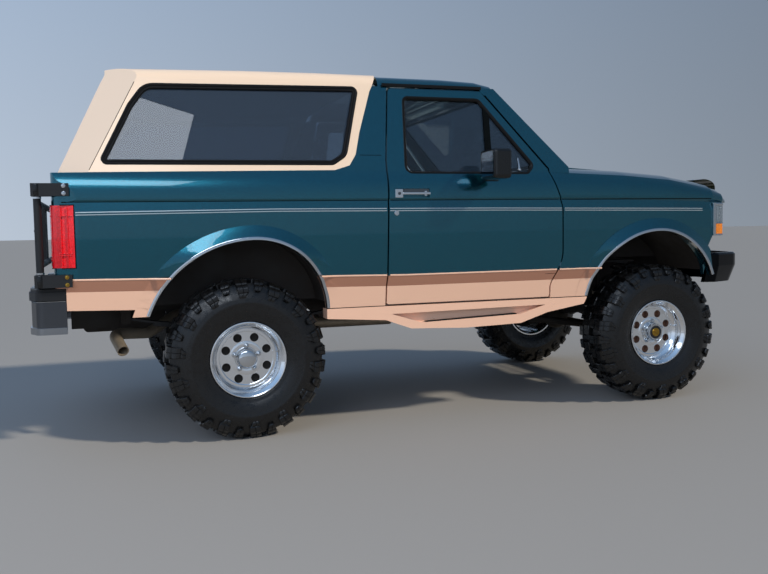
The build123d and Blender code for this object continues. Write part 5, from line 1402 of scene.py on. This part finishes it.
def postCollars(bm):
    for spot in bracket["collarsAt"]:
        turned(bm, bracket["collar"], spot, (0, 0, 1), 32, closed=True)


for word, height, look in bracket["rows"]:
    onePiece(f"bracket_bolts_{word}", lambda bm: bracketBolts(bm, height), look)
onePiece("pivot_barrels", pivotBarrels, "glossyAbs")
onePiece("post_collars", postCollars, "chromePlate", "tyre_carrier")
onePiece("carrier_end_cap", lambda bm: turned(bm, bracket["cap"], bracket["capAt"], (0, 0, 1), 24),
         "mouldedVinyl", "tyre_carrier")

# Running boards: ribbed grip strip in the pocket

board = {
    "ends": ((-0.12, 0.5935), (0.47, 0.6115)),
    # Inner edge, height and width of each rib, and of the strip under them
    "ribs": [(0.9335, 0.0035, 0.0052), (0.9415, 0.0055, 0.0052), (0.9495, 0.0055, 0.0052),
             (0.9575, 0.0055, 0.0052), (0.9655, 0.0055, 0.0052), (0.9315, 0.002, 0.04)],
}


def gripStrip(bm):
    (xa, za), (xb, zb) = board["ends"]
    for y, tall, wide in board["ribs"]:
        outline = [(xa, y, za - 0.001), (xb, y, zb - 0.001), (xb, y, zb + tall), (xa, y, za + tall)]
        plate(bm, outline, (0, wide, 0))


bothSides("board_grip_strip", gripStrip, "extrudedRubber", rounding=0.0008)
print("stage: rear and side trim")


# Seats: cushions swollen by a short cloth simulation, then sewn channels pressed in

seat = {
    "voxel": 0.014, "pressure": 4.0, "frames": 20,
    # Furthest move of a point, and how much smaller the block starts
    "cap": 0.016, "shrink": 0.011,
    "channelDeep": 0.007, "channelWide": 0.011,
    # Base and runners: distance from the seat's middle, half length, half width, low and high
    "base": ((0, 0.2, 0.2, 0.835, 1.012), (-0.17, 0.26, 0.018, 0.8005, 0.84),
             (0.17, 0.26, 0.018, 0.8005, 0.84)),
    "y": 0.42, "places": {"front": (("_left", 0.42), ("_right", -0.42)), "rear": (("", 0.0),)},
}
# Side outline and its radii in millimetres, half width, the way it faces, channels along and across it
cushions = {
    "seat_cushion": ([(-262, 1014), (-298, 1138), (238, 1158), (268, 1062), (250, 1008)],
                     [30, 45, 60, 40, 20], 0.258, (0.03, 0, 1), (-0.165, 0.165), (-0.12, 0.0, 0.12)),
    "seat_back": ([(-290, 1090), (-418, 1618), (-342, 1646), (-202, 1145)], [30, 34, 34, 40],
                  0.252, (0.96, 0, 0.27), (-0.15, 0.15), (-0.17, -0.06, 0.05)),
    "head_rest": ([(-418, 1660), (-430, 1796), (-374, 1806), (-354, 1664)], [24, 26, 26, 24],
                  0.128, (0.96, 0, 0.2), (), ()),
    "rear_seat_cushion": ([(-998, 890), (-1006, 1096), (-562, 1126), (-542, 890)], [10, 40, 60, 10],
                          0.556, (0.05, 0, 1), (-0.19, 0.19), (-0.1, 0.08)),
    "rear_seat_back": ([(-1000, 1088), (-1126, 1556), (-1052, 1586), (-902, 1116)], [20, 34, 34, 40],
                       0.551, (0.96, 0, 0.27), (-0.19, 0.19), (-0.1, 0.08)),
}


def cushionMesh(outline, radii, half):
    # A block with rounded edges, a little smaller than the finished cushion
    flat = rounded([Vector(p) / 1000 for p in outline], [r / 1000 for r in radii], steps=4)
    middle = sum(flat, Vector((0, 0))) / len(flat)
    small = [middle + (p - middle) * max(0.6, 1 - seat["shrink"] / (p - middle).length) for p in flat]
    bm = bmesh.new()
    slices = [(-half + 0.012, 0.9), (-half + 0.03, 1.0), (0, 1.0), (half - 0.03, 1.0), (half - 0.012, 0.9)]
    rings = []
    for y, scale in slices:
        rings.append([
            bm.verts.new((middle.x + (p.x - middle.x) * scale, y, middle.y + (p.y - middle.y) * scale))
            for p in small
        ])
    joinRings(bm, rings)
    bmesh.ops.recalc_face_normals(bm, faces=bm.faces)
    mesh = bpy.data.meshes.new("cushion")
    bm.to_mesh(mesh)
    bm.free()
    return mesh


def evaluated(piece):
    graph = bpy.context.evaluated_depsgraph_get()
    return bpy.data.meshes.new_from_object(piece.evaluated_get(graph))


def swell(mesh):
    # Voxel remesh, then pressure from inside with gravity off; no point moves further than the cap
    pad = bpy.data.objects.new("swelling", mesh)
    scene = bpy.context.scene
    scene.collection.objects.link(pad)
    remesh = pad.modifiers.new("remesh", "REMESH")
    remesh.mode = "VOXEL"
    remesh.voxel_size = seat["voxel"]
    start = evaluated(pad)
    pad.modifiers.clear()
    pad.data = start
    cloth = pad.modifiers.new("cloth", "CLOTH")
    cloth.settings.use_pressure = True
    cloth.settings.uniform_pressure_force = seat["pressure"]
    cloth.settings.effector_weights.gravity = 0
    cloth.settings.quality = 5
    for frameNumber in range(1, seat["frames"] + 1):
        scene.frame_set(frameNumber)
    swollen = evaluated(pad)
    pad.modifiers.clear()
    for vert, new in zip(start.vertices, swollen.vertices):
        move = new.co - vert.co
        if move.length > seat["cap"]:
            move = move.normalized() * seat["cap"]
        vert.co += move
    scene.frame_set(1)
    bpy.data.objects.remove(pad)
    return start


def sewn(mesh, outline, facing, lines, cross):
    # Press channels into the side that faces the sitter: lines at a y, cross ones away from the middle
    facing = Vector(facing).normalized()
    along = Vector((facing.z, 0, -facing.x))
    x, z = [sum(axis) / len(outline) / 1000 for axis in zip(*outline)]
    centre = Vector((x, 0, z))
    bm = bmesh.new()
    bm.from_mesh(mesh)
    bmesh.ops.subdivide_edges(bm, edges=bm.edges, cuts=1, use_grid_fill=True, smooth=0.6)
    bm.normal_update()
    for vert in bm.verts:
        face = max(0.0, vert.normal.dot(facing) - 0.35) / 0.65
        near = [abs(vert.co.y - y) for y in lines] + [abs((vert.co - centre).dot(along) - d) for d in cross]
        press = max((math.exp(-(gap / seat["channelWide"]) ** 2) for gap in near), default=0)
        vert.co -= facing * press * seat["channelDeep"] * min(1, face * 2)
    bm.to_mesh(mesh)
    bm.free()


for name, (outline, radii, half, facing, lines, cross) in cushions.items():
    mesh = swell(cushionMesh(outline, radii, half))
    sewn(mesh, outline, facing, lines, cross)
    mesh.materials.clear()
    mesh.materials.append(finishes["wovenCloth"])
    mesh.shade_smooth()
    for word, y in seat["places"]["rear" if name.startswith("rear") else "front"]:
        piece = bpy.data.objects.new(name + word, mesh.copy())
        piece.data.name = name + word
        piece.location = (0, y, 0)
        bpy.context.scene.collection.objects.link(piece)
        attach(piece, "chassis")
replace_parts(bpy.data.objects["seat_cushion_left"], "front_seats")
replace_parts(bpy.data.objects["rear_seat_cushion"], "rear_seat")

belt = {
    # From the pillar over the shoulder to the floor
    "path": [(-0.42, 0.86, 1.7), (-0.405, 0.8, 1.62), (-0.3, 0.69, 1.4), (-0.26, 0.675, 1.16),
             (-0.33, 0.668, 1.0), (-0.34, 0.668, 0.9)],
    "section": boxSection(0.023, -0.0007, 0.0007), "parts": 6, "smoothings": 3, "out": (1, -0.2, 0),
}


def seatHardware(bm):
    # Seat base with its runners
    for middle, half, wide, low, high in seat["base"]:
        y = seat["y"] + middle
        brick(bm, (-half, y - wide, low), (half, y + wide, high))


def beltParts(bm):
    points = [Vector(p) for p in belt["path"]]
    parts = belt["parts"]
    smooth = [a.lerp(b, k / parts) for a, b in zip(points, points[1:]) for k in range(parts)] + [points[-1]]
    for again in range(belt["smoothings"]):
        middle = [(a + b * 2 + c) / 4 for a, b, c in zip(smooth, smooth[1:], smooth[2:])]
        smooth = [smooth[0], *middle, smooth[-1]]
    swept(bm, smooth, belt["section"], belt["out"])


bothSides("seat_bases", seatHardware, "mouldedVinyl", rounding=0.006)
post = [(0, 0), (0.006, 0), (0.006, 0.06), (0, 0.06)]
posts = [(-0.382, seat["y"] + side, 1.615) for side in (-0.05, 0.05)]
bothSides("headrest_posts", turnedAt(post, posts, (0, 0, 1), 16), "chromePlate")
bothSides("seat_belts", beltParts, "nylonWebbing")
print("stage: seats")


# Dashboard and controls: instrument hood, vents, radio face, dials, knobs, and the column with its lever

dash = {
    "x": 0.541,
    "hood": [(0.54, 0.2, 1.385), (0.54, 0.6, 1.385), (0.54, 0.585, 1.43), (0.54, 0.215, 1.43)],
    # Middles of the vents in y, half their width, their heights, and the heights of their slats
    "vents": (-0.66, -0.36, 0.06, 0.7), "ventHalf": 0.05, "ventZ": (1.274, 1.326),
    "slats": [(1.28 + k * 0.0125, 1.283 + k * 0.0125) for k in range(4)],
    "ventSection": [(-0.002, -0.006), (-0.002, 0.002), (0.004, 0.006), (0.01, 0.002), (0.01, -0.006)],
    # Place in y and radius of each dial, and their height; places of the knobs in y and z
    "dials": ((0.31, 0.042), (0.49, 0.042), (0.4, 0.03)), "dialZ": 1.34,
    "knobs": ((-0.075, 1.235), (0.075, 1.235)),
    "knob": [(0, 0), (0.013, 0), (0.012, 0.016), (0, 0.017)],
    "column": (0.6, 0.4, 1.215), "columnTilt": 32,
    "cover": [(0, 0), (0.04, 0), (0.046, 0.03), (0.046, 0.13), (0.035, 0.15), (0, 0.15)],
    # The lever's points: distance along the column, and place from there in y and z
    "lever": ((0.12, 0.03, 0), (0.135, 0.15, 0.015), (0.14, 0.2, 0.02)),
}


def dashParts(bm):
    x, half, (z0, z1) = dash["x"], dash["ventHalf"], dash["ventZ"]
    plate(bm, dash["hood"], (0.12, 0, 0))
    for y in dash["vents"]:
        flatRing(bm, boxRing(x, (y - half, z0), (y + half, z1)), (-1, 0, 0), dash["ventSection"])
        for low, high in dash["slats"]:
            brick(bm, (x - 0.003, y - 0.048, low), (x + 0.004, y + 0.048, high))
    # Radio face
    brick(bm, (x - 0.006, -0.11, 1.2), (x + 0.006, 0.11, 1.27))


def dashDials(bm):
    x = dash["x"]
    for y, radius in dash["dials"]:
        profile = [(0, 0), (radius, 0), (radius, 0.006), (radius - 0.003, 0.008), (radius - 0.004, 0.003),
                   (0, 0.003)]
        turned(bm, profile, (x - 0.001, y, dash["dialZ"]), (-1, 0, 0), 40)
    for y, z in dash["knobs"]:
        turned(bm, dash["knob"], (x - 0.006, y, z), (-1, 0, 0), 24)


def columnCover(bm):
    column, tilt = Vector(dash["column"]), math.radians(dash["columnTilt"])
    back = Vector((-math.cos(tilt), 0, math.sin(tilt)))
    turned(bm, dash["cover"], column, back, 28)
    lever = [column + back * along + Vector((0, y, z)) for along, y, z in dash["lever"]]
    swept(bm, lever, boxSection(0.006, -0.004, 0.004), back)


onePiece("dash_parts", dashParts, "mouldedVinyl", slot="dash_plastic", rounding=0.003)
onePiece("dash_dials", dashDials, "blackPowderCoat", slot="dash_plastic")
onePiece("column_cover", columnCover, "mouldedVinyl", slot="dash_plastic")
print("stage: dashboard")


# Floor, light and camera

floorMesh = bpy.data.meshes.new("studioFloor")
floorMesh.from_pydata([(-200, -200, 0), (200, -200, 0), (200, 200, 0), (-200, 200, 0)], [], [(0, 1, 2, 3)])
floor = bpy.data.objects.new("studioFloor", floorMesh)
bpy.context.scene.collection.objects.link(floor)
newMaterial("groundConcrete", "#8E8C89", Roughness=0.75)
floorMesh.materials.append(finishes["groundConcrete"])


def addLight(name, kind, power, colour, place, target):
    data = bpy.data.lights.new(name, kind)
    data.energy = power
    data.color = linear(colour)[:3]
    light = bpy.data.objects.new(name, data)
    bpy.context.scene.collection.objects.link(light)
    light.location = place
    light.rotation_euler = (Vector(target) - Vector(place)).to_track_quat("-Z", "Y").to_euler()
    return light


# A broad, even key from one direction, as the sun gives, with softened shadow edges
key = addLight("key", "SUN", 3.6, "#FFF3E0", (175, -130, 165), (0, 0, 0))
key.data.angle = math.radians(4)
key.visible_glossy = False
fill = addLight("fill", "AREA", 330, "#E6ECFA", (-6.0, -7.0, 4.0), (0, 0, 1))
fill.data.size = 6.0
fill.visible_glossy = False
# A long strip low over the rear, which the shoulder of the body reflects as the sky does in the photograph
strip = addLight("strip", "AREA", 200, "#F2F8FF", (-4.2, -7.0, 6.4), (-1.2, -0.9, 1.4))
strip.data.shape = "RECTANGLE"
strip.data.size = 8.0
strip.data.size_y = 1.5
strip.visible_diffuse = False
bpy.context.scene.view_settings.view_transform = "Standard"

# Colours of the sky with their heights, and how bright it is from behind the vehicle to ahead of it
sky = {
    "colours": ((0.0, "#CBD8E8"), (0.6, "#8FB0D8")),
    "from": -0.6, "to": 0.8, "behind": 1.05, "ahead": 0.36,
}
world = bpy.data.worlds.new("studio")
bpy.context.scene.world = world
world.use_nodes = True
tree = world.node_tree
background = tree.nodes["Background"]
coords = addNode(tree, "TexCoord")
way = addNode(tree, "SeparateXYZ", {"Vector": coords.outputs["Generated"]}).outputs
ramp = addNode(tree, "ValToRGB", {"Fac": way["Z"]})
for element, (position, colour) in zip(ramp.color_ramp.elements, sky["colours"]):
    element.position = position
    element.color = linear(colour)
tree.links.new(ramp.outputs["Color"], background.inputs["Color"])
# The sky is dimmer ahead of the vehicle, as behind a building
strength = ranged(tree, way["X"], sky["behind"], sky["ahead"], sky["from"], sky["to"])
tree.links.new(strength, background.inputs["Strength"])

view = {
    "place": (-1.9193, -5.5225, 1.1416), "turn": 18.694, "down": 3.968, "roll": -1.0145,
    # Focal length over the picture's width
    "focalShare": 839.07 / 768,
}
data = bpy.data.cameras.new("camera")
data.sensor_width = 36.0
data.lens = view["focalShare"] * data.sensor_width
camera = bpy.data.objects.new("camera", data)
bpy.context.scene.collection.objects.link(camera)
turn, down = math.radians(view["turn"]), math.radians(view["down"])
look = Vector((math.sin(turn) * math.cos(down), math.cos(turn) * math.cos(down), -math.sin(down)))
aim = look.to_track_quat("-Z", "Y").to_matrix().to_4x4()
roll = Matrix.Rotation(math.radians(view["roll"]), 4, "Z")
camera.matrix_world = Matrix.Translation(view["place"]) @ aim @ roll
bpy.context.scene.camera = camera
print("stage: floor, light and camera")
